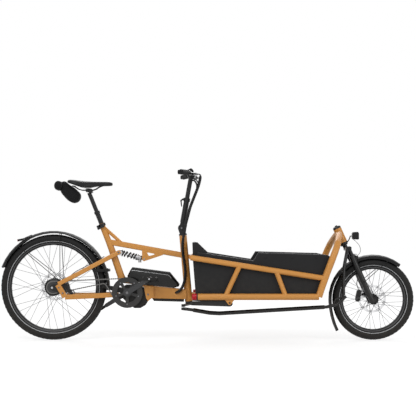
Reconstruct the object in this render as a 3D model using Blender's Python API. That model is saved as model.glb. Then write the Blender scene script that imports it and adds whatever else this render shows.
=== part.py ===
"""An electric cargo bike with a long front loading bay, modelled as separate pieces.

Lengths are in metres, +X points forward, +Y to the rider's left and +Z up. The origin is on the
ground, in the middle of the bike's length and width.
"""

import math

import bmesh
import bpy
from mathutils import Matrix, Vector

X_AXIS = Vector((1, 0, 0))
Y_AXIS = Vector((0, 1, 0))
Z_AXIS = Vector((0, 0, 1))
RIGHT = -1
LEFT = 1

# Running and seating gaps
SEAT = 0.0003
RUNNING_GAP = 0.0006

# Wheels
WHEELBASE = 2.0245
REAR_TYRE_RADIUS = 0.3345
FRONT_TYRE_RADIUS = 0.258
TYRE_WIDTH = 0.055
REAR_RIM_RADIUS = REAR_TYRE_RADIUS - TYRE_WIDTH
FRONT_RIM_RADIUS = FRONT_TYRE_RADIUS - TYRE_WIDTH
RIM_WIDTH = 0.030
RIM_DEPTH = 0.0125
RIM_WALL = 0.0026
RIM_FLANGE = 0.006
WHEEL_STEPS = 36
SPOKES = 36
SPOKE_THICKNESS = 0.0026
SPOKE_CROSSINGS = 3
REAR_FLANGE_RADIUS = 0.050
REAR_FLANGE_SPREAD = 0.032
FRONT_FLANGE_RADIUS = 0.029
FRONT_FLANGE_SPREAD = 0.027
FLANGE_THICKNESS = 0.004
AXLE_RADIUS = 0.006
DISC_RADIUS = 0.090
DISC_THICKNESS = 0.0022

# Frame tubes
SEAT_LEAN = math.radians(21.8)
SEAT_TUBE_RADIUS = 0.0185
SEAT_TUBE_FOOT = 0.027
SEAT_BORE_DEPTH = 0.155
SLEEVE_RADIUS = 0.0158
TOP_TUBE_HEIGHT = 0.036
TOP_TUBE_WIDTH = 0.034
GUSSET_RADIUS = 0.011
BEAM_HALF_WIDTH = 0.032
COLUMN_LEAN = math.radians(5.1)
COLUMN_RADIUS = 0.024
SHAFT_RADIUS = 0.0155
HEAD_LEAN = math.radians(24.2)
HEAD_TUBE_RADIUS = 0.026
HEAD_TUBE_LENGTH = 0.095
STEERER_RADIUS = 0.0145

# Cargo frame
RAIL_SPREAD = 0.235
UPPER_RAIL_RADIUS = 0.017
LOWER_RAIL_RADIUS = 0.020
BRACE_RADIUS = 0.0155
RISER_RADIUS = 0.021
CROSS_RADIUS = 0.012
PANEL_THICKNESS = 0.010
FLOOR_THICKNESS = 0.009

# Swingarm and shock
STAY_WIDTH = 0.020
STAY_HEIGHT = 0.027
CHAINSTAY_HEIGHT = 0.031
PIVOT_PIN_RADIUS = 0.008
PIVOT_LUG_RADIUS = 0.021
PIVOT_HALF_WIDTH = 0.028
SHOCK_PIN_RADIUS = 0.0045
SPRING_RADIUS = 0.0172
SPRING_WIRE = 0.0056
SPRING_COILS = 6

# Drive
CRANK_LENGTH = 0.170
CRANK_ANGLE = math.radians(32)
CHAINLINE = 0.056
CHAIN_PITCH = 0.0127
CHAINRING_TEETH = 44
SPROCKET_TEETH = 19
CHAIN_WIDTH = 0.0066
MOTOR_HALF_WIDTH = 0.044
STAND_AXLE_RADIUS = 0.0055
SPINDLE_RADIUS = 0.012

# Places worked out from the wheels, in the bike's middle plane
OVERALL_LENGTH = WHEELBASE + REAR_TYRE_RADIUS + FRONT_TYRE_RADIUS
REAR_AXLE = Vector((REAR_TYRE_RADIUS - OVERALL_LENGTH / 2, 0, REAR_TYRE_RADIUS))
FRONT_AXLE = Vector((OVERALL_LENGTH / 2 - FRONT_TYRE_RADIUS, 0, FRONT_TYRE_RADIUS))
CRANK = REAR_AXLE + Vector((REAR_TYRE_RADIUS + 0.1355, 0, -0.0315))
PIVOT = CRANK + Vector((-0.079, 0, -0.016))


def clear_scene():
    for obj in list(bpy.data.objects):
        bpy.data.objects.remove(obj)


def finish(name, colour, roughness, metallic=0.0):
    """Makes a Principled material from an sRGB colour given in 0 to 255."""
    material = bpy.data.materials.new(name)
    material.use_nodes = True
    shader = material.node_tree.nodes["Principled BSDF"]
    linear = [(c / 255) ** 2.2 for c in colour]
    shader.inputs["Base Color"].default_value = (*linear, 1)
    shader.inputs["Roughness"].default_value = roughness
    shader.inputs["Metallic"].default_value = metallic
    material.diffuse_color = (*linear, 1)
    return material


# Shapes


def side(x, z, y=0.0):
    """A point given as it lies in a side view."""
    return Vector((x, y, z))


def rounded(path, cut, steps=3):
    """Replaces each inner corner of a path by a smooth bend that starts at most cut before it."""
    points = [path[0].copy()]
    for before, corner, after in zip(path, path[1:], path[2:]):
        reach = min(cut, (before - corner).length / 2.1, (after - corner).length / 2.1)
        start = corner + (before - corner).normalized() * reach
        end = corner + (after - corner).normalized() * reach
        for step in range(steps + 1):
            t = step / steps
            points.append(start * (1 - t) ** 2 + corner * 2 * t * (1 - t) + end * t**2)
    points.append(path[-1].copy())
    return points


def spread(value, count):
    """A size along a path: one number for all of it, or one for each of its ends."""
    if isinstance(value, (int, float)):
        return [value] * count
    first, last = value
    return [first + (last - first) * i / (count - 1) for i in range(count)]


def skin(bm, rings, closed=False):
    """Joins rings of vertices by quads, and caps the two ends unless the rings close on themselves."""
    pairs = list(zip(rings, rings[1:]))
    if closed:
        pairs.append((rings[-1], rings[0]))
    for ring, following in pairs:
        for i, corner in enumerate(ring):
            after = (i + 1) % len(ring)
            bm.faces.new((corner, ring[after], following[after], following[i]))
    if not closed:
        bm.faces.new(rings[0])
        bm.faces.new(rings[-1])
    bmesh.ops.recalc_face_normals(bm, faces=bm.faces)
    return bm


def tube(path, width, height=None, sides=10, square=False):
    """A bar along a path, width across it sideways and height the other way, both as radii."""
    widths = spread(width, len(path))
    heights = widths if height is None else spread(height, len(path))
    bm = bmesh.new()
    rings = []
    across = Z_AXIS if abs((path[1] - path[0]).normalized().y) > 0.9 else Y_AXIS
    for i, point in enumerate(path):
        before = (point - path[i - 1]).normalized() if i else (path[1] - point).normalized()
        after = (path[i + 1] - point).normalized() if i < len(path) - 1 else before
        tangent = (before + after).normalized()
        across = (across - tangent * across.dot(tangent)).normalized()
        upward = across.cross(tangent)
        bend = after - before
        stretch = 1 / max(tangent.dot(after), 0.5) - 1
        ring = []
        for k in range(sides):
            angle = 2 * math.pi * (k + 0.5) / sides
            c, s = math.cos(angle), math.sin(angle)
            if square:
                c, s = (math.copysign(abs(v) ** 0.35, v) for v in (c, s))
            offset = across * widths[i] * c + upward * heights[i] * s
            if bend.length > 1e-6:
                towards = bend.normalized()
                offset += towards * offset.dot(towards) * stretch
            ring.append(bm.verts.new(point + offset))
        rings.append(ring)
    return skin(bm, rings)


def turned(profile, centre, axis=Y_AXIS, steps=24, closed=False):
    """Revolves (radius, distance along the axis) points; a radius of 0 closes an end on the axis."""
    across = Vector((0, 0, 1)) if abs(axis.z) < 0.9 else Vector((1, 0, 0))
    across = (across - axis * across.dot(axis)).normalized()
    other = axis.cross(across)
    bm = bmesh.new()
    rings = []
    for radius, along in profile:
        if radius == 0:
            rings.append([bm.verts.new(centre + axis * along)])
            continue
        ring = []
        for k in range(steps):
            angle = 2 * math.pi * k / steps
            spoke = across * math.cos(angle) + other * math.sin(angle)
            ring.append(bm.verts.new(centre + axis * along + spoke * radius))
        rings.append(ring)
    pairs = list(zip(rings, rings[1:]))
    if closed:
        pairs.append((rings[-1], rings[0]))
    for ring, following in pairs:
        for k in range(steps):
            after = (k + 1) % steps
            corners = [ring[k % len(ring)], ring[after % len(ring)]]
            corners += [following[after % len(following)], following[k % len(following)]]
            bm.faces.new(list(dict.fromkeys(corners)))
    bmesh.ops.recalc_face_normals(bm, faces=bm.faces)
    return bm


def disc(centre, radius, y_from, y_to, steps=20, bore=0.0):
    """A round plate or drum across the bike, with an optional bore."""
    if bore:
        section = [(radius, y_from), (radius, y_to), (bore, y_to), (bore, y_from)]
        return turned(section, centre, steps=steps, closed=True)
    section = [(0, y_from), (radius, y_from), (radius, y_to), (0, y_to)]
    return turned(section, centre, steps=steps)


def pin(start, end, radius, sides=10):
    return tube([start, end], radius, sides=sides)


def prism(outline, depth):
    """Extrudes a flat outline of points by a vector."""
    bm = bmesh.new()
    near = [bm.verts.new(point) for point in outline]
    far = [bm.verts.new(point + depth) for point in outline]
    return skin(bm, [near, far])


def plate(outline, y_from, y_to):
    """A plate across the bike, from an outline of (x, z) points."""
    return prism([side(x, z, y_from) for x, z in outline], Y_AXIS * (y_to - y_from))


def block(low, high):
    """A box between two corners."""
    outline = [(low[0], low[2]), (high[0], low[2]), (high[0], high[2]), (low[0], high[2])]
    return plate(outline, low[1], high[1])


def wrapped(circles, steps=10):
    """The outline of a belt round circles given as (x, z, radius)."""
    points = []
    for x, z, radius in circles:
        for k in range(steps):
            angle = 2 * math.pi * (k + 0.5) / steps
            points.append((x + radius * math.cos(angle), z + radius * math.sin(angle)))
    points.sort()

    def half(ordered):
        kept = []
        for p in ordered:
            while len(kept) > 1:
                a, b = kept[-2:]
                if (b[0] - a[0]) * (p[1] - a[1]) - (b[1] - a[1]) * (p[0] - a[0]) > 1e-12:
                    break
                kept.pop()
            kept.append(p)
        return kept[:-1]

    return half(points) + half(points[::-1])


def toothed(centre, teeth, tooth_height=0.005, lower=0.0):
    """The outline of a sprocket: one tooth for each link of chain that lies on it."""
    middle = CHAIN_PITCH / (2 * math.sin(math.pi / teeth)) - lower
    outline = []
    for k in range(2 * teeth):
        radius = middle - tooth_height / 2 if k % 2 else middle + tooth_height / 2
        angle = math.pi * k / teeth
        outline.append((centre.x + radius * math.cos(angle), centre.z + radius * math.sin(angle)))
    return outline


def mirrored(bm):
    """The same shape on the bike's other side."""
    copy = bm.copy()
    bmesh.ops.transform(copy, matrix=Matrix.Scale(-1, 4, Y_AXIS), verts=copy.verts)
    bmesh.ops.reverse_faces(copy, faces=copy.faces)
    return copy


# Objects


def add_object(name, bm, origin=None):
    mesh = bpy.data.meshes.new(name)
    if origin is not None:
        bmesh.ops.translate(bm, verts=bm.verts, vec=-origin)
    bm.to_mesh(mesh)
    bm.free()
    obj = bpy.data.objects.new(name, mesh)
    bpy.context.scene.collection.objects.link(obj)
    return obj


def add_helpers(name, shapes):
    """Keeps the shapes that a Boolean joins or cuts in a collection of their own."""
    collection = bpy.data.collections.new(name)
    bpy.context.scene.collection.children.link(collection)
    for number, bm in enumerate(shapes):
        helper = add_object(f"{name}_{number}", bm)
        bpy.context.scene.collection.objects.unlink(helper)
        collection.objects.link(helper)
        helper.hide_render = True
        helper.display_type = "WIRE"
    return collection


BODIES = {}


def add_body(name, at, carrier=None):
    """An empty on a joint's axis, which carries the pieces that move with that joint."""
    empty = bpy.data.objects.new(f"{name}_axis", None)
    empty.empty_display_size = 0.05
    bpy.context.scene.collection.objects.link(empty)
    BODIES[name] = (empty, at)
    if carrier:
        parent, parent_at = BODIES[carrier]
        empty.parent = parent
        empty.location = at - parent_at
    else:
        empty.location = at
    return empty


def add_piece(name, body, material, shapes, cuts=()):
    """Makes one sub-part from shapes that overlap, less its cuts, on the body that carries it."""
    shapes = shapes if isinstance(shapes, list) else [shapes]
    empty, at = BODIES[body]
    obj = add_object(name, shapes[0], at)
    obj.parent = empty
    obj.data.materials.append(material)
    for operation, helpers in (("UNION", shapes[1:]), ("DIFFERENCE", list(cuts))):
        if helpers:
            modifier = obj.modifiers.new(operation.title(), "BOOLEAN")
            modifier.operation = operation
            modifier.operand_type = "COLLECTION"
            modifier.collection = add_helpers(f"{name}_{operation.lower()}", helpers)
    obj.data.shade_smooth()
    obj.data.set_sharp_from_angle(angle=math.radians(35))
    return obj


def leaning(origin, lean):
    """Places points by height along an axis that leans back, and by distance ahead of it and aside."""
    up = Vector((-math.sin(lean), 0, math.cos(lean)))
    ahead = Vector((math.cos(lean), 0, math.sin(lean)))

    def place(height, forward=0.0, aside=0.0):
        return origin + up * height + ahead * forward + Y_AXIS * aside

    return place, up, ahead


# Frame places that several pieces share
SEAT_TOP = CRANK + Vector((-0.168, 0, 0.434))
SEAT_FOOT = CRANK + Vector((-0.0426, 0, 0.095))
COLUMN_TOP = CRANK + Vector((0.349, 0, 0.359))
COLUMN_LENGTH = 0.418
HEAD_TOP = FRONT_AXLE + Vector((-0.2265, 0, 0.447))
seat_at, SEAT_UP, SEAT_AHEAD = leaning(SEAT_TOP, SEAT_LEAN)
column_at, COLUMN_UP, COLUMN_AHEAD = leaning(COLUMN_TOP, COLUMN_LEAN)
head_at, HEAD_UP, HEAD_AHEAD = leaning(HEAD_TOP, HEAD_LEAN)
IDLER = CRANK + Vector((-0.1505, 0, 0.038))
SHOCK_REAR = CRANK + Vector((-0.057, 0, 0.252))
SHOCK_FRONT = CRANK + Vector((0.104, 0, 0.210))
BEAM_TOP = [CRANK + Vector((x, 0, z)) for x, z in ((0.104, 0.0475), (0.372, 0.0165))]
BEAM_BOTTOM = [CRANK + Vector((x, 0, z)) for x, z in ((0.150, -0.0376), (0.372, -0.043))]


def beam_top_height(x):
    start, end = BEAM_TOP
    return start.z + (x - start.x) * (end.z - start.z) / (end.x - start.x)


# Rear frame


def make_rear_frame(orange):
    add_body("frame", Vector((0, 0, 0)))
    bend = seat_at(-0.170)
    seat_tube = tube(
        rounded([seat_at(0), bend, SEAT_FOOT, SEAT_FOOT + Vector((0.006, 0, -0.022))], 0.05),
        (SEAT_TUBE_RADIUS, 0.023),
        (SEAT_TUBE_RADIUS, SEAT_TUBE_FOOT),
        sides=12,
    )
    top_tube_rear = seat_at(-0.125)
    top_tube_front = column_at(-0.128)
    top_tube = tube([top_tube_rear, top_tube_front], TOP_TUBE_WIDTH / 2, TOP_TUBE_HEIGHT / 2, 8, True)
    gusset_foot = top_tube_rear.lerp(top_tube_front, 0.19)
    gusset = tube([seat_at(-0.016), gusset_foot], GUSSET_RADIUS)
    column = tube([column_at(0), column_at(-COLUMN_LENGTH)], COLUMN_RADIUS, sides=14)
    bracket = [
        (SHOCK_FRONT.x, SHOCK_FRONT.z, 0.014),
        (SHOCK_FRONT.x - 0.004, SHOCK_FRONT.z + 0.052, 0.011),
        (SHOCK_FRONT.x + 0.112, SHOCK_FRONT.z + 0.031, 0.008),
    ]
    shock_bracket = plate(wrapped(bracket), -0.019, 0.019)
    beam_outline = [(p.x, p.z) for p in BEAM_TOP + BEAM_BOTTOM[::-1]]
    beam = plate(beam_outline, -BEAM_HALF_WIDTH, BEAM_HALF_WIDTH)
    motor_lug = plate(
        [
            (BEAM_TOP[0].x - 0.002, BEAM_TOP[0].z - 0.004),
            (BEAM_TOP[0].x + 0.060, BEAM_TOP[0].z - 0.012),
            (BEAM_TOP[0].x + 0.062, BEAM_BOTTOM[0].z + 0.006),
            (BEAM_TOP[0].x + 0.046, BEAM_BOTTOM[0].z - 0.001),
            (BEAM_TOP[0].x + 0.026, BEAM_BOTTOM[0].z - 0.018),
            (BEAM_TOP[0].x + 0.014, BEAM_BOTTOM[0].z),
        ],
        MOTOR_HALF_WIDTH + SEAT,
        MOTOR_HALF_WIDTH + 0.006,
    )
    lug_spacer = block(
        (BEAM_TOP[0].x + 0.036, -MOTOR_HALF_WIDTH - 0.004, BEAM_BOTTOM[0].z + 0.010),
        (BEAM_TOP[0].x + 0.056, MOTOR_HALF_WIDTH + 0.004, BEAM_TOP[0].z - 0.020),
    )
    spine_path = rounded(
        [
            PIVOT,
            PIVOT + Vector((-0.008, 0, 0.045)),
            PIVOT + Vector((0.016, 0, 0.082)),
            PIVOT + Vector((0.070, 0, 0.0795)),
            PIVOT + Vector((0.150, 0, 0.0665)),
            PIVOT + Vector((0.200, 0, 0.0500)),
        ],
        0.02,
        1,
    )
    spine = tube(spine_path, 0.029, 0.0075, 8, True)
    pivot_lug = disc(PIVOT, PIVOT_LUG_RADIUS, -PIVOT_HALF_WIDTH, PIVOT_HALF_WIDTH, 20)
    seat_bore = pin(seat_at(0.01), seat_at(-SEAT_BORE_DEPTH), SLEEVE_RADIUS + SEAT, 12)
    column_bore = pin(
        column_at(0.01), column_at(-COLUMN_LENGTH - 0.01), SHAFT_RADIUS + RUNNING_GAP, 12
    )
    pivot_bore = pin(
        PIVOT - Y_AXIS * 0.05, PIVOT + Y_AXIS * 0.05, PIVOT_PIN_RADIUS + RUNNING_GAP, 12
    )
    eye_slot = plate(
        wrapped([(SHOCK_FRONT.x, SHOCK_FRONT.z, 0.019), (SHOCK_FRONT.x - 0.03, SHOCK_FRONT.z, 0.022)]),
        -0.0125,
        0.0125,
    )
    window = plate(
        wrapped(
            [
                (SHOCK_FRONT.x + 0.022, SHOCK_FRONT.z + 0.037, 0.004),
                (SHOCK_FRONT.x + 0.030, SHOCK_FRONT.z + 0.023, 0.004),
                (SHOCK_FRONT.x + 0.062, SHOCK_FRONT.z + 0.030, 0.003),
            ],
            6,
        ),
        -0.04,
        0.04,
    )
    shock_bore = pin(
        SHOCK_FRONT - Y_AXIS * 0.05, SHOCK_FRONT + Y_AXIS * 0.05, SHOCK_PIN_RADIUS + RUNNING_GAP, 10
    )
    add_piece(
        "rear_frame",
        "frame",
        orange,
        [
            seat_tube,
            top_tube,
            gusset,
            column,
            shock_bracket,
            beam,
            motor_lug,
            mirrored(motor_lug),
            lug_spacer,
            spine,
            pivot_lug,
        ],
        [seat_bore, column_bore, pivot_bore, shock_bore, eye_slot, window],
    )


# Cargo frame and box


def rail_point(x, z, which):
    return Vector((x, which * RAIL_SPREAD, z))


COLUMN_FOOT = column_at(-0.377)
UPPER_REAR = COLUMN_TOP + Vector((0.053, 0, -0.135))
LOWER_REAR = COLUMN_FOOT + Vector((COLUMN_RADIUS + LOWER_RAIL_RADIUS + 0.001, 0, 0))
FLOOR_HEIGHT = LOWER_REAR.z + CROSS_RADIUS * math.cos(math.pi / 8)
LOWER_FRONT = Vector((FRONT_AXLE.x - 0.3665, 0, LOWER_REAR.z))
UPPER_FRONT = LOWER_FRONT + Vector((0.037, 0, 0.113))
BRACE_FEET = (LOWER_REAR.x + 0.186, LOWER_FRONT.x - 0.202)
BRACE_HEADS = (LOWER_REAR.x + 0.276, LOWER_FRONT.x - 0.262)
STAND_PIVOT = Vector((LOWER_REAR.x + 0.213, 0, LOWER_REAR.z - 0.037))
CROSS_TUBES = (LOWER_REAR.x + 0.10, (LOWER_REAR.x + LOWER_FRONT.x) / 2, LOWER_FRONT.x - 0.06)
RISER_FRONT = [(0, 0, 1), (0.037, 0.113, 1), (0.091, 0.251, 1), (0.112, 0.305, 0.93)]
RISER_TOP = [(0.134, 0.356, 0.62), (0.1465, 0.388, 0.10)]


def upper_rail_height(x):
    share = (x - UPPER_REAR.x) / (UPPER_FRONT.x - UPPER_REAR.x)
    return UPPER_REAR.z + share * (UPPER_FRONT.z - UPPER_REAR.z)


def make_cargo_frame(orange):
    head_tube = tube([head_at(0), head_at(-HEAD_TUBE_LENGTH)], HEAD_TUBE_RADIUS, sides=16)
    joined = []
    for which in (RIGHT, LEFT):
        upper_rear, upper_front = (rail_point(p.x, p.z, which) for p in (UPPER_REAR, UPPER_FRONT))
        lower_rear, lower_front = (rail_point(p.x, p.z, which) for p in (LOWER_REAR, LOWER_FRONT))
        joined.append(tube([upper_rear, upper_front], UPPER_RAIL_RADIUS))
        joined.append(tube([lower_rear, lower_front], LOWER_RAIL_RADIUS))
        for foot, head in zip(BRACE_FEET, BRACE_HEADS):
            head_point = rail_point(head, upper_rail_height(head), which)
            joined.append(tube([rail_point(foot, LOWER_REAR.z, which), head_point], BRACE_RADIUS, sides=8))
        riser = [
            LOWER_FRONT + Vector((x, which * RAIL_SPREAD * share, z))
            for x, z, share in RISER_FRONT + RISER_TOP
        ]
        joined.append(tube(rounded(riser, 0.05, 1), RISER_RADIUS))
        lug = [
            (STAND_PIVOT.x - 0.031, LOWER_REAR.z - 0.016),
            (STAND_PIVOT.x + 0.031, LOWER_REAR.z - 0.016),
            (STAND_PIVOT.x + 0.006, STAND_PIVOT.z - 0.012),
            (STAND_PIVOT.x - 0.006, STAND_PIVOT.z - 0.012),
        ]
        lug_y = which * RAIL_SPREAD
        joined.append(plate(lug, lug_y - 0.003, lug_y + 0.003))
    cross = [(UPPER_REAR.x, UPPER_REAR.z), (LOWER_REAR.x + 0.014, LOWER_REAR.z)]
    cross += [(x, LOWER_REAR.z) for x in CROSS_TUBES]
    for x, z in cross:
        joined.append(pin(side(x, z, -RAIL_SPREAD), side(x, z, RAIL_SPREAD), CROSS_RADIUS, 8))
    for x, z in cross[:2]:
        depth = (COLUMN_TOP.z - z) / math.cos(COLUMN_LEAN)
        faces = [column_at(-depth + rise, COLUMN_RADIUS + SEAT) for rise in (-0.013, 0.013)]
        foot = [(p.x, p.z) for p in faces] + [(x + 0.002, z + 0.011), (x + 0.002, z - 0.011)]
        joined.append(plate(foot, -0.020, 0.020))
    steerer_room = (STEERER_RADIUS + RUNNING_GAP) / math.cos(math.pi / 10)
    steerer_bore = pin(head_at(0.01), head_at(-HEAD_TUBE_LENGTH - 0.01), steerer_room)
    stand_bore = pin(
        STAND_PIVOT - Y_AXIS * 0.3, STAND_PIVOT + Y_AXIS * 0.3, STAND_AXLE_RADIUS + RUNNING_GAP
    )
    add_piece("cargo_frame", "frame", orange, [head_tube] + joined, [steerer_bore, stand_bore])


PANEL_OUTER = RAIL_SPREAD - LOWER_RAIL_RADIUS - 0.0005
PANEL_INNER = PANEL_OUTER - PANEL_THICKNESS
FLOOR_TOP = FLOOR_HEIGHT + SEAT + FLOOR_THICKNESS
BOX_REAR = LOWER_REAR.x + 0.004
BOX_REAR_TOP = side(UPPER_REAR.x + CROSS_RADIUS + 0.0012, UPPER_REAR.z - 0.020)


def make_box(floor_colour, panel_colour):
    front_low = LOWER_FRONT.x - 0.019
    floor = block(
        (BOX_REAR + 0.020, -PANEL_INNER + SEAT, FLOOR_HEIGHT + SEAT),
        (front_low - 0.012 - SEAT, PANEL_INNER - SEAT, FLOOR_TOP),
    )
    add_piece("cargo_floor", "frame", floor_colour, floor)
    strip = 0.040
    step = UPPER_REAR.x + 0.385
    front_top = LOWER_FRONT + Vector((0.030, 0, 0.259))
    outline = [
        (BOX_REAR, FLOOR_HEIGHT + SEAT),
        (BOX_REAR_TOP.x, BOX_REAR_TOP.z),
        (BOX_REAR_TOP.x + 0.030, upper_rail_height(BOX_REAR_TOP.x + 0.030) + strip),
        (step, upper_rail_height(step) + strip),
        (step + 0.031, front_top.z + 0.011),
        (front_top.x, front_top.z),
        (front_top.x + 0.034, front_top.z - 0.008),
        (front_top.x + 0.044, front_top.z - 0.022),
        (LOWER_FRONT.x + 0.026, LOWER_FRONT.z + 0.134),
        (LOWER_FRONT.x - 0.010, FLOOR_HEIGHT + SEAT),
    ]
    for name, which in (("side_panel_right", RIGHT), ("side_panel_left", LEFT)):
        low, high = sorted((which * PANEL_INNER, which * PANEL_OUTER))
        add_piece(name, "frame", panel_colour, plate(outline, low, high))
    half = PANEL_INNER - SEAT
    wall_top = BOX_REAR_TOP.z + 0.112
    back = plate(
        [
            (BOX_REAR + 0.001, FLOOR_TOP + SEAT),
            (BOX_REAR_TOP.x, BOX_REAR_TOP.z),
            (BOX_REAR_TOP.x - 0.004, wall_top),
            (BOX_REAR_TOP.x + 0.009, wall_top),
            (BOX_REAR_TOP.x + 0.012, BOX_REAR_TOP.z),
            (BOX_REAR + 0.013, FLOOR_TOP + SEAT),
        ],
        -half,
        half,
    )
    wing_outline = [
        (BOX_REAR_TOP.x + 0.004, wall_top - 0.001),
        (BOX_REAR_TOP.x + 0.024, wall_top - 0.003),
        (BOX_REAR_TOP.x + 0.092, wall_top - 0.068),
        (BOX_REAR_TOP.x + 0.088, wall_top - 0.110),
        (BOX_REAR_TOP.x + 0.004, BOX_REAR_TOP.z - 0.060),
    ]
    wing = plate(wing_outline, half - 0.012, half)
    add_piece("rear_wall", "frame", panel_colour, [back, wing, mirrored(wing)])
    front = plate(
        [
            (front_low - 0.012, FLOOR_HEIGHT + SEAT),
            (front_low - 0.012, FLOOR_TOP + SEAT),
            (front_low + 0.031, UPPER_FRONT.z + 0.020),
            (front_top.x + 0.008, front_top.z - 0.006),
            (front_top.x + 0.024, front_top.z - 0.006),
            (front_low + 0.043, UPPER_FRONT.z + 0.016),
            (front_low, FLOOR_TOP + SEAT),
            (front_low, FLOOR_HEIGHT + SEAT),
        ],
        -half,
        half,
    )
    add_piece("front_wall", "frame", panel_colour, front)


def make_rail_caps(black):
    """A plug with a round reflector in the rear end of each lower rail."""
    for name, which in (("rail_cap_right", RIGHT), ("rail_cap_left", LEFT)):
        rail_end = rail_point(LOWER_REAR.x, LOWER_REAR.z, which) - X_AXIS * SEAT
        rim = LOWER_RAIL_RADIUS
        section = [(0, 0), (rim, 0), (rim, 0.006), (rim - 0.004, 0.011), (0.014, 0.011)]
        section += [(0.0125, 0.015), (0, 0.017)]
        add_piece(name, "frame", black, turned(section, rail_end, -X_AXIS, 12))


STAND_LENGTH = 0.232
STAND_SPREAD = RAIL_SPREAD - 0.020


def make_stand(black):
    """A centre stand of two legs on one axle, folded back under the rails."""
    add_body("stand", STAND_PIVOT, "frame")
    axle = pin(
        STAND_PIVOT - Y_AXIS * (RAIL_SPREAD + 0.008),
        STAND_PIVOT + Y_AXIS * (RAIL_SPREAD + 0.008),
        STAND_AXLE_RADIUS,
        8,
    )
    leg_outline = wrapped(
        [
            (STAND_PIVOT.x + 0.002, STAND_PIVOT.z - 0.006, 0.018),
            (STAND_PIVOT.x - STAND_LENGTH, STAND_PIVOT.z - 0.004, 0.0125),
        ]
    )
    leg = plate(leg_outline, STAND_SPREAD - 0.006, STAND_SPREAD + 0.006)
    foot = tube(
        [
            side(STAND_PIVOT.x - STAND_LENGTH, STAND_PIVOT.z - 0.004, STAND_SPREAD - 0.018),
            side(STAND_PIVOT.x - STAND_LENGTH, STAND_PIVOT.z - 0.004, STAND_SPREAD + 0.018),
        ],
        0.011,
        sides=8,
    )
    tie_x = STAND_PIVOT.x - 0.036
    tie = pin(
        side(tie_x, STAND_PIVOT.z - 0.006, -STAND_SPREAD),
        side(tie_x, STAND_PIVOT.z - 0.006, STAND_SPREAD),
        0.008,
        8,
    )
    add_piece("kickstand", "stand", black, [leg, mirrored(leg), foot, mirrored(foot), tie, axle])


# Motor and battery


def make_motor(black):
    circles = [
        (CRANK.x, CRANK.z, 0.048),
        (CRANK.x + 0.063, CRANK.z - 0.031, 0.071),
        (CRANK.x + 0.070, CRANK.z - 0.002, 0.040),
    ]
    core = plate(wrapped(circles, 12), -MOTOR_HALF_WIDTH + 0.006, MOTOR_HALF_WIDTH - 0.006)
    cheek = plate(wrapped([(x, z, r - 0.010) for x, z, r in circles], 12), -MOTOR_HALF_WIDTH,
                  MOTOR_HALF_WIDTH)
    arm = plate(
        wrapped(
            [
                (IDLER.x, IDLER.z, 0.011),
                (CRANK.x - 0.028, CRANK.z + 0.014, 0.016),
                (CRANK.x - 0.020, CRANK.z + 0.004, 0.014),
            ],
            8,
        ),
        -MOTOR_HALF_WIDTH - 0.0035,
        -MOTOR_HALF_WIDTH + 0.001,
    )
    axle = pin(
        side(IDLER.x, IDLER.z, -MOTOR_HALF_WIDTH),
        side(IDLER.x, IDLER.z, -CHAINLINE - 0.007),
        0.004,
        8,
    )
    hub = disc(CRANK, 0.026, -MOTOR_HALF_WIDTH - 0.006, MOTOR_HALF_WIDTH + 0.010, 14)
    bore = pin(CRANK - Y_AXIS * 0.1, CRANK + Y_AXIS * 0.1, SPINDLE_RADIUS + RUNNING_GAP, 12)
    add_piece("motor", "frame", black, [core, cheek, arm, axle, hub], [bore])


def make_battery(black):
    base_rear = CRANK.x + 0.006
    base_front = BEAM_TOP[1].x - 0.084
    outline = [
        (base_rear, CRANK.z + 0.0765),
        (base_rear - 0.008, CRANK.z + 0.104),
        (base_rear + 0.010, CRANK.z + 0.139),
        (base_rear + 0.023, CRANK.z + 0.158),
        (base_rear + 0.261, CRANK.z + 0.127),
        (base_front + 0.040, beam_top_height(base_front + 0.040) + 0.026),
        (base_front + 0.036, beam_top_height(base_front + 0.036) + 0.012),
        (base_front, beam_top_height(base_front) + SEAT),
        (BEAM_TOP[0].x + 0.020, beam_top_height(BEAM_TOP[0].x + 0.020) + SEAT),
        (BEAM_TOP[0].x - 0.034, CRANK.z + 0.0645),
    ]
    body = plate(outline, -0.042, 0.042)
    belly = plate(outline, -0.045, 0.045)
    bmesh.ops.scale(
        belly,
        vec=(0.94, 1, 0.80),
        verts=belly.verts,
        space=Matrix.Translation(-side(base_rear + 0.13, CRANK.z + 0.105)),
    )
    add_piece("battery", "frame", black, [body, belly])
    cover_top = BEAM_BOTTOM[0].z - 0.007
    cover = plate(
        [
            (BEAM_BOTTOM[0].x + 0.004, BEAM_BOTTOM[0].z - SEAT),
            (BEAM_BOTTOM[1].x - 0.0155, BEAM_BOTTOM[1].z + 0.0002),
            (BEAM_BOTTOM[1].x - 0.0170, cover_top - 0.016),
            (BEAM_BOTTOM[0].x + 0.016, cover_top - 0.011),
        ],
        -0.026,
        0.026,
    )
    add_piece("under_cover", "frame", black, cover)


# Wheels


def make_tyre(name, body, centre, radius, rim_radius, rubber):
    half = TYRE_WIDTH / 2
    middle = radius - half
    seat = rim_radius + SEAT
    bead = RIM_WIDTH / 2 - RIM_WALL - SEAT
    flange = rim_radius + RIM_FLANGE
    right_side = [
        (seat, bead),
        (flange, bead),
        (middle, half),
        (middle + half * 0.60, half * 0.77),
        (radius, 0.008),
    ]
    section = [(r, y) for r, y in right_side] + [(r, -y) for r, y in right_side[::-1]]
    add_piece(name, body, rubber, turned(section, centre, steps=WHEEL_STEPS, closed=True))


def rim_shape(centre, rim_radius):
    half = RIM_WIDTH / 2
    flange = rim_radius + RIM_FLANGE
    inner = rim_radius - RIM_DEPTH
    right_side = [
        (rim_radius, half - RIM_WALL),
        (flange, half - RIM_WALL),
        (flange, half),
        (inner, half * 0.55),
    ]
    section = right_side + [(r, -y) for r, y in right_side[::-1]]
    return turned(section, centre, steps=WHEEL_STEPS, closed=True)


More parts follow.
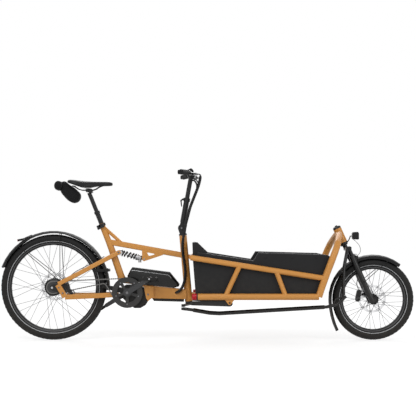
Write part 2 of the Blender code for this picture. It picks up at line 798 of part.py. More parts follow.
def spoke_shapes(centre, rim_radius, flange_radius, flange_spread):
    """Tangential spokes: each rim hole takes one, from alternate flanges and alternate directions."""
    shapes = []
    cross = 2 * math.pi * SPOKE_CROSSINGS * 2 / SPOKES
    for k in range(SPOKES):
        flange_side = LEFT if k % 2 else RIGHT
        leading = 1 if k % 4 < 2 else -1
        angle = 2 * math.pi * (k + 0.5) / SPOKES
        hub_angle = angle + leading * cross
        face = flange_spread + leading * FLANGE_THICKNESS * 0.5
        rim_end = centre + Vector(
            (
                (rim_radius - RIM_DEPTH + 0.003) * math.cos(angle),
                flange_side * 0.003,
                (rim_radius - RIM_DEPTH + 0.003) * math.sin(angle),
            )
        )
        hub_end = centre + Vector(
            (flange_radius * math.cos(hub_angle), flange_side * face, flange_radius * math.sin(hub_angle))
        )
        shapes.append(tube([hub_end, rim_end], SPOKE_THICKNESS / 2, sides=3))
    return shapes


def make_wheel(name, body, centre, rim_radius, flange_radius, flange_spread, hub_section, metal):
    hub = turned(hub_section, centre, steps=14, closed=True)
    spokes = spoke_shapes(centre, rim_radius, flange_radius, flange_spread)
    add_piece(name, body, metal, [hub, rim_shape(centre, rim_radius)] + spokes)


def make_disc(name, body, centre, y, bore, steel):
    """A brake disc: a thin ring on five slanting arms round a bored centre."""
    half = DISC_THICKNESS / 2
    ring = disc(centre, DISC_RADIUS, y - half, y + half, 24, DISC_RADIUS - 0.016)
    middle = disc(centre, 0.030, y - half, y + half, 12, bore)
    arms = []
    for k in range(5):
        angle = 2 * math.pi * k / 5
        start = centre + Vector((0.028 * math.cos(angle), y, 0.028 * math.sin(angle)))
        turn = angle + 0.45
        reach = DISC_RADIUS - 0.012
        end = centre + Vector((reach * math.cos(turn), y, reach * math.sin(turn)))
        arms.append(tube([start, end], half * 0.96, 0.006, 4, True))
    add_piece(name, body, steel, [ring, middle] + arms)


def make_rear_wheel(rubber, rim_black, steel):
    add_body("rear_wheel", REAR_AXLE, "swingarm")
    make_tyre("rear_tyre", "rear_wheel", REAR_AXLE, REAR_TYRE_RADIUS, REAR_RIM_RADIUS, rubber)
    bore = AXLE_RADIUS + RUNNING_GAP
    flange = REAR_FLANGE_SPREAD + FLANGE_THICKNESS
    rim = REAR_FLANGE_RADIUS + 0.006
    hub = [
        (bore, -0.045),
        (0.030, -0.045),
        (rim - 0.012, -flange - 0.004),
        (rim, -flange),
        (rim, -REAR_FLANGE_SPREAD + FLANGE_THICKNESS),
        (rim - 0.009, -REAR_FLANGE_SPREAD + 0.008),
        (rim - 0.009, REAR_FLANGE_SPREAD - 0.008),
        (rim, REAR_FLANGE_SPREAD - FLANGE_THICKNESS),
        (rim, flange),
        (rim - 0.020, flange + 0.006),
        (0.024, 0.058),
        (bore, 0.058),
    ]
    make_wheel("rear_wheel", "rear_wheel", REAR_AXLE, REAR_RIM_RADIUS, REAR_FLANGE_RADIUS,
               REAR_FLANGE_SPREAD, hub, rim_black)
    disc_y = 0.058 + SEAT + DISC_THICKNESS / 2
    make_disc("rear_brake_disc", "rear_wheel", REAR_AXLE, disc_y, bore, steel)


def make_front_wheel(rubber, rim_black, steel):
    add_body("front_wheel", FRONT_AXLE, "fork_lowers")
    make_tyre("front_tyre", "front_wheel", FRONT_AXLE, FRONT_TYRE_RADIUS, FRONT_RIM_RADIUS, rubber)
    bore = AXLE_RADIUS + RUNNING_GAP
    rim = FRONT_FLANGE_RADIUS + 0.004
    half = FLANGE_THICKNESS
    hub = [
        (bore, -0.042),
        (0.012, -0.042),
        (0.016, -FRONT_FLANGE_SPREAD - half),
        (rim, -FRONT_FLANGE_SPREAD - half),
        (rim, -FRONT_FLANGE_SPREAD + half),
        (0.017, -FRONT_FLANGE_SPREAD + half + 0.006),
        (0.017, FRONT_FLANGE_SPREAD - half - 0.006),
        (rim, FRONT_FLANGE_SPREAD - half),
        (rim, FRONT_FLANGE_SPREAD + half),
        (0.020, FRONT_FLANGE_SPREAD + half),
        (0.020, 0.036),
        (bore, 0.036),
    ]
    make_wheel("front_wheel", "front_wheel", FRONT_AXLE, FRONT_RIM_RADIUS, FRONT_FLANGE_RADIUS,
               FRONT_FLANGE_SPREAD, hub, rim_black)
    disc_y = 0.036 + SEAT + DISC_THICKNESS / 2
    make_disc("front_brake_disc", "front_wheel", FRONT_AXLE, disc_y, bore, steel)


# Steering: column, stem and bars

STEM_LEAN = math.radians(-10.2)
STEM_HINGE = COLUMN_TOP + Vector((-0.0075, 0, 0.0473))
stem_at, STEM_UP, STEM_AHEAD = leaning(STEM_HINGE, STEM_LEAN)
STEM_TUBE_RADIUS = 0.0175
STEM_TUBE_TOP = 0.190
RISER_TUBE_RADIUS = 0.0145
STEM_RISE = 0.341
BAR = stem_at(STEM_RISE)
BAR_RADIUS = 0.011
BAR_HALF_LENGTH = 0.335
GRIP_START = 0.212
HINGE_CHEEK = 0.024
DROP_ARM_BACK = 0.035
DROP_ARM_REACH = 0.115
ROD_OFFSET = 0.1255
SHAFT_FOOT = column_at(-COLUMN_LENGTH - 0.024)
ROD_REAR = SHAFT_FOOT + Vector((-DROP_ARM_BACK, -DROP_ARM_REACH, -0.017))


def make_steering(black):
    add_body("steering", column_at(0), "frame")
    shaft = pin(SHAFT_FOOT, column_at(0.030), SHAFT_RADIUS, 12)
    arm_top = column_at(-COLUMN_LENGTH - RUNNING_GAP)
    collar = turned([(0, 0), (0.023, 0), (0.023, 0.020), (0, 0.020)], arm_top, -COLUMN_UP, 12)
    arm_z = SHAFT_FOOT.z + 0.004
    arm_end = side(ROD_REAR.x, arm_z, ROD_REAR.y)
    arm = tube([side(SHAFT_FOOT.x, arm_z), arm_end], 0.0065, 0.013, 8, True)
    ball_seat = turned([(0, 0), (0.012, 0), (0.012, 0.016), (0.005, 0.017), (0, 0.017)],
                       arm_end + Z_AXIS * 0.0075, -Z_AXIS, 12)
    add_piece("steering_shaft", "steering", black, [shaft, collar, arm, ball_seat])
    crown_cap = turned([(0, 0), (COLUMN_RADIUS + 0.002, 0), (COLUMN_RADIUS, 0.012), (0, 0.012)],
                       column_at(RUNNING_GAP), COLUMN_UP, 14)
    cheeks = wrapped(
        [
            (STEM_HINGE.x, STEM_HINGE.z, HINGE_CHEEK),
            (STEM_HINGE.x + 0.014, STEM_HINGE.z + 0.006, 0.016),
            (COLUMN_TOP.x - 0.002, COLUMN_TOP.z + 0.022, 0.021),
        ],
        12,
    )
    block_shape = plate(cheeks, -HINGE_CHEEK, HINGE_CHEEK)
    slot = wrapped(
        [
            (STEM_HINGE.x, STEM_HINGE.z, 0.019),
            (STEM_HINGE.x + 0.06, STEM_HINGE.z + 0.02, 0.040),
            (STEM_HINGE.x - 0.03, STEM_HINGE.z + 0.05, 0.020),
        ]
    )
    slot_cut = plate(slot, -0.0125, 0.0125)
    shaft_bore = pin(column_at(-0.01), column_at(0.030 + SEAT), SHAFT_RADIUS + SEAT, 12)
    pin_bore = pin(STEM_HINGE - Y_AXIS * 0.1, STEM_HINGE + Y_AXIS * 0.1, 0.005 + RUNNING_GAP, 10)
    add_piece("stem_hinge", "steering", black, [block_shape, crown_cap],
              [slot_cut, shaft_bore, pin_bore])


def make_stem(black, grey):
    add_body("stem", STEM_HINGE, "steering")
    lug = plate(
        wrapped(
            [
                (STEM_HINGE.x, STEM_HINGE.z, 0.0165),
                (stem_at(0.040).x, stem_at(0.040).z, 0.014),
            ]
        ),
        -0.012,
        0.012,
    )
    tube_shape = pin(stem_at(0.036), stem_at(STEM_TUBE_TOP), STEM_TUBE_RADIUS, 14)
    collar = pin(stem_at(STEM_TUBE_TOP - 0.020), stem_at(STEM_TUBE_TOP + 0.003),
                 STEM_TUBE_RADIUS + 0.0035, 14)
    ear_at = stem_at(STEM_TUBE_TOP - 0.009, -0.025)
    ears = plate(wrapped([(ear_at.x, ear_at.z, 0.0055), (ear_at.x + 0.009, ear_at.z, 0.008)], 8),
                 -0.008, 0.008)
    hinge_pin = pin(STEM_HINGE - Y_AXIS * 0.026, STEM_HINGE + Y_AXIS * 0.026, 0.005, 10)
    bore = pin(stem_at(0.040), stem_at(STEM_TUBE_TOP + 0.01), RISER_TUBE_RADIUS + SEAT, 12)
    add_piece("stem_tube", "stem", black, [lug, tube_shape, collar, ears, hinge_pin], [bore])

    add_body("stem_lever", ear_at, "stem")
    cheek_end = ear_at + Vector((-0.0125, 0, -0.008))
    cheek = plate(
        wrapped([(ear_at.x, ear_at.z, 0.0055), (cheek_end.x, cheek_end.z, 0.0045)], 8),
        0.008 + SEAT, 0.0115,
    )
    blade = plate(
        wrapped([(cheek_end.x, cheek_end.z, 0.0045),
                 (cheek_end.x + 0.004, cheek_end.z - 0.036, 0.0035)], 8),
        -0.0115, 0.0115,
    )
    add_piece("stem_clamp_lever", "stem_lever", grey, [blade, cheek, mirrored(cheek)])

    add_body("stem_riser", stem_at(STEM_TUBE_TOP), "stem")
    riser = pin(stem_at(0.110), BAR - STEM_UP * 0.006, RISER_TUBE_RADIUS, 12)
    clamp = disc(BAR, 0.019, -0.021, 0.021, 16)
    face_plate = plate(
        wrapped([(BAR.x + 0.008, BAR.z + 0.002, 0.015), (BAR.x + 0.004, BAR.z - 0.010, 0.014)]),
        -0.019, 0.019,
    )
    bar_bore = pin(BAR - Y_AXIS * 0.1, BAR + Y_AXIS * 0.1, BAR_RADIUS + SEAT, 10)
    add_piece("stem_riser", "stem_riser", black, [riser, clamp, face_plate], [bar_bore])
    rest = BAR.z + 0.019 + SEAT
    screen = plate(
        [
            (BAR.x - 0.030, rest + 0.004),
            (BAR.x - 0.026, rest),
            (BAR.x + 0.012, rest),
            (BAR.x + 0.016, rest + 0.006),
            (BAR.x + 0.006, rest + 0.020),
            (BAR.x - 0.002, rest + 0.023),
            (BAR.x - 0.028, rest + 0.011),
        ],
        -0.034,
        0.034,
    )
    add_piece("display", "stem_riser", black, screen)


BAR_PATH = [(0, 0, 0), (0, 0.045, 0), (0.003, 0.10, 0.005), (-0.012, 0.18, 0.006),
            (-0.056, BAR_HALF_LENGTH, 0.003)]


def bar_point(which, index):
    x, y, z = BAR_PATH[index]
    return BAR + Vector((x, which * y, z))


def make_handlebar(black, rubber):
    path = [bar_point(RIGHT, i) for i in (4, 3, 2, 1)] + [bar_point(LEFT, i) for i in (1, 2, 3, 4)]
    bar = tube(rounded(path, 0.03, 2), BAR_RADIUS)
    joined = []
    for which in (RIGHT, LEFT):
        inner, outer = bar_point(which, 3), bar_point(which, 4)
        share = (GRIP_START - BAR_PATH[3][1]) / (BAR_HALF_LENGTH - BAR_PATH[3][1])
        start = inner.lerp(outer, share)
        along = (outer - inner).normalized()
        clamp_at = inner + Vector((0, which * 0.006, 0))
        clamp = tube([clamp_at, clamp_at + along * 0.016], BAR_RADIUS + 0.0045, sides=10)
        reservoir = tube(
            [
                clamp_at + Vector((0.014, -which * 0.032, -0.002)),
                clamp_at + Vector((0.024, which * 0.006, -0.009)),
            ],
            0.009, 0.010, 8,
        )
        neck = tube(
            [clamp_at + along * 0.008, clamp_at + Vector((0.020, 0, -0.007))], 0.007, sides=8,
        )
        lever_pivot = clamp_at + Vector((0.041, which * 0.012, -0.010))
        joined += [clamp, neck, reservoir]
        for lift in (-0.0072, 0.0072):
            lug_start = clamp_at + Vector((0.022, which * 0.004, -0.010 + lift * 0.9))
            lug_end = lever_pivot + Vector((0.005, which * 0.002, lift))
            joined.append(tube([lug_start, lug_end], 0.0068, 0.0014, 6, True))
        joined.append(pin(lever_pivot - Z_AXIS * 0.0075, lever_pivot + Z_AXIS * 0.0075, 0.0024, 6))

        name = "grip_right" if which == RIGHT else "grip_left"
        sleeve = tube([start, outer + along * 0.004], 0.0165, sides=14)
        wing = tube(
            [start.lerp(outer, 0.42) - X_AXIS * 0.012, outer - X_AXIS * 0.017 - Z_AXIS * 0.001],
            0.014, (0.004, 0.0055), 10,
        )
        bore = tube([start - along * 0.01, outer + along * 0.0003], BAR_RADIUS * 1.06 + SEAT)
        add_piece(name, "stem_riser", rubber, [sleeve, wing], [bore])

        lever_name = "brake_lever_right" if which == RIGHT else "brake_lever_left"
        add_body(lever_name, lever_pivot, "stem_riser")
        blade_path = [
            lever_pivot + Vector((0.002, -which * 0.002, 0)),
            lever_pivot + Vector((0.016, which * 0.022, -0.002)),
            lever_pivot + Vector((0.008, which * 0.062, -0.006)),
            lever_pivot + Vector((-0.010, which * 0.104, -0.008)),
            lever_pivot + Vector((-0.012, which * 0.120, -0.008)),
        ]
        blade = tube(rounded(blade_path, 0.02, 1), 0.0038, 0.005, 8)
        barrel = turned([(0, -0.0052), (0.0062, -0.0052), (0.0062, 0.0052), (0, 0.0052)],
                        lever_pivot, Z_AXIS, 12)
        pivot_bore = pin(lever_pivot - Z_AXIS * 0.02, lever_pivot + Z_AXIS * 0.02,
                         0.0024 + RUNNING_GAP, 6)
        add_piece(lever_name, lever_name, black, [barrel, blade], [pivot_bore])
    add_piece("handlebar", "stem_riser", black, [bar] + joined)


# Fork and tie rod

STANCHION_SPREAD = 0.058
STANCHION_RADIUS = 0.014
LOWER_LEG_RADIUS = 0.0185
LEG_FORWARD = 0.008
CROWN_DEPTH = HEAD_TUBE_LENGTH + 0.0445
LEG_TOP = 0.1915
FORK_TRAVEL = 0.030
AXLE_DEPTH = (HEAD_TOP - FRONT_AXLE).dot(HEAD_UP)
AXLE_FORWARD = (FRONT_AXLE - HEAD_TOP).dot(HEAD_AHEAD)
ROD_RADIUS = 0.0105
ARM_FOOT = Vector((HEAD_TOP.x + 0.025, -ROD_OFFSET, FRONT_AXLE.z + 0.036))
ROD_AXIS = Vector((-0.39, 0.04, 1)).normalized()
ROD_FRONT = ARM_FOOT - ROD_AXIS * 0.018


def make_fork(black):
    add_body("fork", HEAD_TOP, "frame")
    steerer = pin(head_at(-CROWN_DEPTH), head_at(0.012), STEERER_RADIUS, 10)
    top_cap = turned(
        [(0, 0), (HEAD_TUBE_RADIUS, 0), (HEAD_TUBE_RADIUS, 0.008), (0.020, 0.014), (0.008, 0.017),
         (0.008, 0.021), (0, 0.021)],
        head_at(RUNNING_GAP), HEAD_UP, 14,
    )
    lower_cup = turned(
        [(0, 0), (HEAD_TUBE_RADIUS, 0), (HEAD_TUBE_RADIUS - 0.001, 0.010), (0.022, 0.020), (0, 0.020)],
        head_at(-HEAD_TUBE_LENGTH - RUNNING_GAP), -HEAD_UP, 14,
    )
    crown = tube(
        [
            head_at(-CROWN_DEPTH - 0.003, LEG_FORWARD, -STANCHION_SPREAD - 0.014),
            head_at(-CROWN_DEPTH, LEG_FORWARD * 0.6, -0.020),
            head_at(-CROWN_DEPTH, LEG_FORWARD * 0.6, 0.020),
            head_at(-CROWN_DEPTH - 0.003, LEG_FORWARD, STANCHION_SPREAD + 0.014),
        ],
        0.0145, 0.017, 8, True,
    )
    legs = []
    for which in (RIGHT, LEFT):
        top = head_at(-CROWN_DEPTH + 0.010, LEG_FORWARD, which * STANCHION_SPREAD)
        foot = head_at(-LEG_TOP - 0.090, LEG_FORWARD, which * STANCHION_SPREAD)
        legs.append(pin(top, foot, STANCHION_RADIUS, 12))
    arm_path = [
        head_at(-CROWN_DEPTH, 0, -STANCHION_SPREAD + 0.008),
        head_at(-CROWN_DEPTH - 0.018, -0.016, -STANCHION_SPREAD - 0.034),
        side(ARM_FOOT.x + 0.002, ARM_FOOT.z + 0.160, -ROD_OFFSET + 0.010),
        side(ARM_FOOT.x - 0.002, ARM_FOOT.z + 0.068, -ROD_OFFSET),
        ARM_FOOT - Z_AXIS * 0.004,
    ]
    arm = tube(rounded(arm_path, 0.04, 2), 0.011, sides=8)
    stud = pin(ARM_FOOT, ROD_FRONT - ROD_AXIS * 0.010, 0.005, 10)
    lamp_back = FRONT_AXLE.x - 0.1312
    bracket = tube(
        [
            head_at(-HEAD_TUBE_LENGTH - 0.014, 0.016),
            head_at(-HEAD_TUBE_LENGTH + 0.004, 0.044),
            side(lamp_back - 0.012, FRONT_AXLE.z + 0.400),
            side(lamp_back - SEAT, FRONT_AXLE.z + 0.400),
        ],
        0.010, 0.003, 8, True,
    )
    add_piece("fork_crown", "fork", black,
              [crown, steerer, top_cap, lower_cup, arm, stud, bracket] + legs)
    low = FRONT_AXLE.z + 0.379
    lamp = plate(
        [
            (lamp_back, low + 0.006),
            (lamp_back + 0.006, low),
            (lamp_back + 0.036, low - 0.001),
            (lamp_back + 0.041, low + 0.004),
            (lamp_back + 0.040, low + 0.040),
            (lamp_back + 0.034, low + 0.048),
            (lamp_back + 0.006, low + 0.046),
            (lamp_back, low + 0.038),
        ],
        -0.027, 0.027,
    )
    add_piece("headlight", "fork", black, lamp)


def make_fork_lowers(black):
    add_body("fork_lowers", head_at(-LEG_TOP), "fork")
    joined = []
    bores = []
    foot_depth = AXLE_DEPTH + 0.010
    for which in (RIGHT, LEFT):
        y = which * STANCHION_SPREAD
        leg = turned(
            [
                (0, foot_depth - LEG_TOP),
                (LOWER_LEG_RADIUS - 0.004, foot_depth - LEG_TOP),
                (LOWER_LEG_RADIUS - 0.001, foot_depth - LEG_TOP - 0.03),
                (LOWER_LEG_RADIUS, 0.030),
                (LOWER_LEG_RADIUS + 0.0015, 0.012),
                (LOWER_LEG_RADIUS + 0.0015, 0),
                (0, 0),
            ],
            head_at(-LEG_TOP, LEG_FORWARD, y), -HEAD_UP, 12,
        )
        dropout = plate(
            wrapped(
                [
                    (FRONT_AXLE.x, FRONT_AXLE.z, 0.014),
                    (head_at(-AXLE_DEPTH, LEG_FORWARD).x, head_at(-AXLE_DEPTH, LEG_FORWARD).z, 0.017),
                ]
            ),
            y - 0.008, y + 0.008,
        )
        joined += [leg, dropout]
        bores.append(pin(head_at(-LEG_TOP + 0.01, LEG_FORWARD, y),
                         head_at(-LEG_TOP - 0.090 - FORK_TRAVEL - 0.008, LEG_FORWARD, y),
                         STANCHION_RADIUS + SEAT, 12))
    arch_forward = LEG_FORWARD + LOWER_LEG_RADIUS + 0.007
    arch = tube(
        [
            head_at(-LEG_TOP - 0.020, arch_forward, -STANCHION_SPREAD - 0.008),
            head_at(-LEG_TOP - 0.009, arch_forward, -STANCHION_SPREAD + 0.030),
            head_at(-LEG_TOP - 0.009, arch_forward, STANCHION_SPREAD - 0.030),
            head_at(-LEG_TOP - 0.020, arch_forward, STANCHION_SPREAD + 0.008),
        ],
        0.010, 0.0085, 8, True,
    )
    axle = pin(FRONT_AXLE - Y_AXIS * (STANCHION_SPREAD + 0.012),
               FRONT_AXLE + Y_AXIS * (STANCHION_SPREAD + 0.012), AXLE_RADIUS, 12)
    low, high = ((FRONT_AXLE.x + x, FRONT_AXLE.z + z, r)
                 for x, z, r in ((-0.092, -0.004, 0.016), (-0.083, 0.044, 0.015)))
    caliper = plate(wrapped([low, high], 8), 0.029, 0.052)
    caliper_arm = tube(
        [side(low[0], low[1] + 0.024, 0.049), side(FRONT_AXLE.x - 0.028, FRONT_AXLE.z + 0.030,
                                                 STANCHION_SPREAD)],
        0.006, 0.010, 8, True,
    )
    disc_y = 0.036 + SEAT + DISC_THICKNESS / 2
    bores.append(disc(FRONT_AXLE, DISC_RADIUS + 0.003, disc_y - 0.0020, disc_y + 0.0020, 24, 0.050))
    nuts = [disc(FRONT_AXLE, 0.0095, y, y + 0.006, 6)
            for y in (STANCHION_SPREAD + 0.007, -STANCHION_SPREAD - 0.013)]
    add_piece("fork_lowers", "fork_lowers", black,
              [axle] + joined + [arch, caliper, caliper_arm] + nuts, bores)


def guard_section(radius, half_width, crown, thickness):
    """Half of a mudguard's cross-section from its middle to its edge, as (radius, y), both skins."""
    outer = [(radius, 0), (radius - crown * 0.3, half_width * 0.55), (radius - crown, half_width)]
    inner = [(r - thickness, y * 0.96) for r, y in outer[::2]]
    return outer, inner


def guard_strip(centre, angles, radius, half_width, crown=0.010, thickness=0.0022, kick=0.0):
    """A mudguard: its crowned section swept round the wheel, with an outward kick at its last end."""
    outer, inner = guard_section(radius, half_width, crown, thickness)
    section = [(r, -y) for r, y in outer[:0:-1]] + outer
    section += inner[:0:-1] + [(r, -y) for r, y in inner]
    bm = bmesh.new()
    rings = []
    for i, angle in enumerate(angles):
        lift = kick * max(0.0, (i - len(angles) + 5) / 4) ** 2
        ring = []
        for r, y in section:
            reach = r + lift
            ring.append(bm.verts.new(centre + Vector((reach * math.cos(angle), y,
                                                      reach * math.sin(angle)))))
        rings.append(ring)
    return skin(bm, rings)


def arc(start, end, count):
    return [math.radians(start + (end - start) * i / count) for i in range(count + 1)]


def around(centre, radius, degrees, y=0.0):
    angle = math.radians(degrees)
    return centre + Vector((radius * math.cos(angle), y, radius * math.sin(angle)))


FRONT_GUARD_GAP = 0.025
GUARD_HALF_WIDTH = 0.0325
REAR_GUARD_GAP = 0.0225
REAR_GUARD_HALF_WIDTH = 0.035


def make_front_mudguard(black):
    radius = FRONT_TYRE_RADIUS + FRONT_GUARD_GAP
    strip = guard_strip(FRONT_AXLE, arc(52, 221, 17), radius, GUARD_HALF_WIDTH, kick=0.028)
    arch_forward = LEG_FORWARD + LOWER_LEG_RADIUS + 0.007
    arch_at = head_at(-LEG_TOP - 0.009, arch_forward)
    mount = []
    for x in (arch_at.x - 0.009, arch_at.x + 0.009):
        rise = math.sqrt(radius**2 - (x - FRONT_AXLE.x) ** 2)
        mount.append((x, FRONT_AXLE.z + rise - 0.0015))
    mount += [(x, arch_at.z - 0.0098 - SEAT) for x, z in mount[::-1]]
    mount = plate(mount, -0.012, 0.012)
    stays = []
    foot_y = STANCHION_SPREAD + LOWER_LEG_RADIUS + SEAT
    for which in (RIGHT, LEFT):
        eye = head_at(-AXLE_DEPTH + 0.128, LEG_FORWARD)
        low, high = sorted((which * foot_y, which * (foot_y + 0.003)))
        stays.append(disc(eye, 0.0075, low, high, 10))
        top = around(FRONT_AXLE, radius - 0.0100, 68, which * (GUARD_HALF_WIDTH - 0.0008))
        start = side(eye.x, eye.z, which * (foot_y + 0.0015))
        stays.append(tube([start, top], 0.0022, sides=6))
    add_piece("front_mudguard", "fork_lowers", black, [strip, mount] + stays)


def make_tie_rod(black):
    """The steering rod: a straight tube whose front end bends up to the fork's steering arm."""
    add_body("tie_rod", ROD_FRONT, "fork")
    eye_front = turned([(0, -0.008), (0.0125, -0.008), (0.0125, 0.008), (0, 0.008)],
                       ROD_FRONT, ROD_AXIS, 14)
    bore = pin(ROD_FRONT - ROD_AXIS * 0.02, ROD_FRONT + ROD_AXIS * 0.02, 0.005 + RUNNING_GAP, 10)
    knee = side(FRONT_AXLE.x - 0.2805, FRONT_AXLE.z - 0.0396, -ROD_OFFSET)
    shin = knee + Vector((0.052, 0, 0.020))
    middle = side(CRANK.x + 0.549, CRANK.z - 0.1284, -0.118)
    path = [ROD_REAR, ROD_REAR + Vector((0.040, 0, -0.004)), middle, knee, shin, ROD_FRONT]
    rod = tube(rounded(path, 0.03, 1), ROD_RADIUS, sides=8)
    brace = tube([knee + X_AXIS * 0.010, knee + Vector((0.030, 0, 0.046)),
                  ROD_FRONT + Vector((-0.004, 0, 0.001))], 0.006, sides=8)
    eye_rear = turned([(0, -0.008), (0.0125, -0.008), (0.0125, 0.008), (0, 0.008)],
                      ROD_REAR, Z_AXIS, 14)
    add_piece("tie_rod", "tie_rod", black, [rod, brace, eye_front, eye_rear], [bore])


# Swingarm and rear wheel mounts

DROPOUT_TOP = Vector((0.037, 0, 0.0195))
DROPOUT_FOOT = Vector((0.0827, 0, -0.0583))
STAY_SLOPE = (SHOCK_REAR.z - REAR_AXLE.z - 0.0235) / (SHOCK_REAR.x - REAR_AXLE.x - 0.040)
STAY_RISE = 0.973 * STAY_HEIGHT / 2 * math.hypot(1, STAY_SLOPE)
PLATE_OUTER = 0.0797


def stay_height(x):
    return SHOCK_REAR.z + (x - SHOCK_REAR.x) * STAY_SLOPE


def stay_point(x, y):
    return side(x, stay_height(x), y)


def make_swingarm(orange):
    add_body("swingarm", PIVOT, "frame")
    arm = []
    top = REAR_AXLE + DROPOUT_TOP
    foot = REAR_AXLE + DROPOUT_FOOT
    path = [
        stay_point(top.x + 0.003, 0.092),
        stay_point(top.x + 0.030, 0.0905),
        stay_point(top.x + 0.135, 0.062),
        stay_point(top.x + 0.247, 0.0495),
        stay_point(top.x + 0.325, 0.0470),
        stay_point(SHOCK_REAR.x - 0.012, 0.0385),
        stay_point(SHOCK_REAR.x, 0.0385),
    ]
    arm.append(tube(path, STAY_WIDTH / 2, STAY_HEIGHT / 2, 8, True))
    arm.append(tube([side(top.x, top.z, 0.092), side(foot.x, foot.z, 0.092)], 0.012, 0.0165, 8, True))
    low = [
        side(foot.x, foot.z, 0.092),
        side(foot.x + 0.040, foot.z + 0.001, 0.090),
        side(foot.x + 0.160, PIVOT.z - 0.006, 0.062),
        side(PIVOT.x - 0.060, PIVOT.z - 0.002, 0.0420),
        side(PIVOT.x - 0.018, PIVOT.z, 0.0390),
        side(PIVOT.x, PIVOT.z, 0.0390),
    ]
    arm.append(tube(low, (0.011, 0.0088), CHAINSTAY_HEIGHT / 2, 8, True))
    arm.append(disc(PIVOT, 0.0185, PIVOT_HALF_WIDTH + 0.0008, 0.0475, 14))
    arm.append(disc(SHOCK_REAR, 0.0135, 0.0290, 0.0470, 12))
    for bolt in (top + Vector((0.009, 0, -0.017)), foot + Vector((-0.014, 0, 0.026))):
        arm.append(disc(bolt, 0.0075, 0.100, 0.1075, 6))
    both = arm + [mirrored(shape) for shape in arm]
    pivot_pin = pin(PIVOT - Y_AXIS * 0.045, PIVOT + Y_AXIS * 0.045, PIVOT_PIN_RADIUS, 12)
    shock_pin = pin(SHOCK_REAR - Y_AXIS * 0.045, SHOCK_REAR + Y_AXIS * 0.045, SHOCK_PIN_RADIUS, 10)
    add_piece("swingarm", "swingarm", orange, [pivot_pin, shock_pin] + both)


def make_rear_axle(black):
    plate_inner = 0.0737
    circles = [(REAR_AXLE.x, REAR_AXLE.z, 0.016), (REAR_AXLE.x + 0.046, REAR_AXLE.z + 0.003, 0.014),
               (REAR_AXLE.x + 0.067, REAR_AXLE.z - 0.033, 0.013)]
    shapes = [pin(REAR_AXLE - Y_AXIS * 0.085, REAR_AXLE + Y_AXIS * 0.085, AXLE_RADIUS, 12)]
    for which, inner in ((RIGHT, 0.0590), (LEFT, 0.0612)):
        low, high = sorted((which * plate_inner, which * PLATE_OUTER))
        shapes.append(plate(wrapped(circles, 12), low, high))
        low, high = sorted((which * inner, which * (plate_inner + 0.001)))
        shapes.append(disc(REAR_AXLE, 0.0115, low, high, 12))
        low, high = sorted((which * (PLATE_OUTER - 0.001), which * 0.0865))
        shapes.append(disc(REAR_AXLE, 0.0095, low, high, 6))
    add_piece("rear_axle", "swingarm", black, shapes)
    body = plate(
        wrapped([(REAR_AXLE.x + 0.077, REAR_AXLE.z + 0.0105, 0.013),
                 (REAR_AXLE.x + 0.085, REAR_AXLE.z - 0.0225, 0.013),
                 (REAR_AXLE.x + 0.064, REAR_AXLE.z - 0.0315, 0.009)], 10),
        0.051, plate_inner - SEAT,
    )
    disc_y = 0.058 + SEAT + DISC_THICKNESS / 2
    slot = disc(REAR_AXLE, DISC_RADIUS + 0.0030, disc_y - 0.0022, disc_y + 0.0022, 24, 0.045)
    add_piece("rear_caliper", "swingarm", black, body, [slot])


def make_rear_mudguard(black, red):
    radius = REAR_TYRE_RADIUS + REAR_GUARD_GAP
    strip = guard_strip(REAR_AXLE, arc(-3, 159, 20), radius, REAR_GUARD_HALF_WIDTH, crown=0.0130)
    edge = radius - 0.0135
    shapes = [strip]
    foot_x = REAR_AXLE.x + 0.050
    rest = stay_height(foot_x) + STAY_RISE + SEAT
    for which in (RIGHT, LEFT):
        y = which * 0.0895
        low, high = sorted((y - 0.004, y + 0.004))
        pad = plate(
            [
                (foot_x - 0.012, stay_height(foot_x - 0.012) + STAY_RISE + SEAT),
                (foot_x + 0.006, stay_height(foot_x + 0.006) + STAY_RISE + SEAT),
                (foot_x + 0.004, stay_height(foot_x + 0.006) + 0.0215),
                (foot_x - 0.012, stay_height(foot_x) + 0.0200),
            ],
            low, high,
        )
        shapes.append(pad)
        for degrees, start_x in ((83, foot_x), (130.5, foot_x - 0.008)):
            top = around(REAR_AXLE, edge, degrees, which * (REAR_GUARD_HALF_WIDTH - 0.0008))
            shapes.append(tube([side(start_x, rest + 0.003, y), top], 0.0022, sides=6))
    add_piece("rear_mudguard", "swingarm", black, shapes)
    under = [around(REAR_AXLE, radius + SEAT + 0.0004, a) for a in (117, 121.5, 126, 130.5)]
    back = under[-1]
    outline = [(p.x, p.z) for p in under]
    outline += [(back.x - 0.001, back.z + 0.022), (back.x + 0.004, back.z + 0.027),
                (under[0].x - 0.006, under[0].z + 0.0065)]
    add_piece("rear_light", "swingarm", red, plate(outline, -0.019, 0.019))


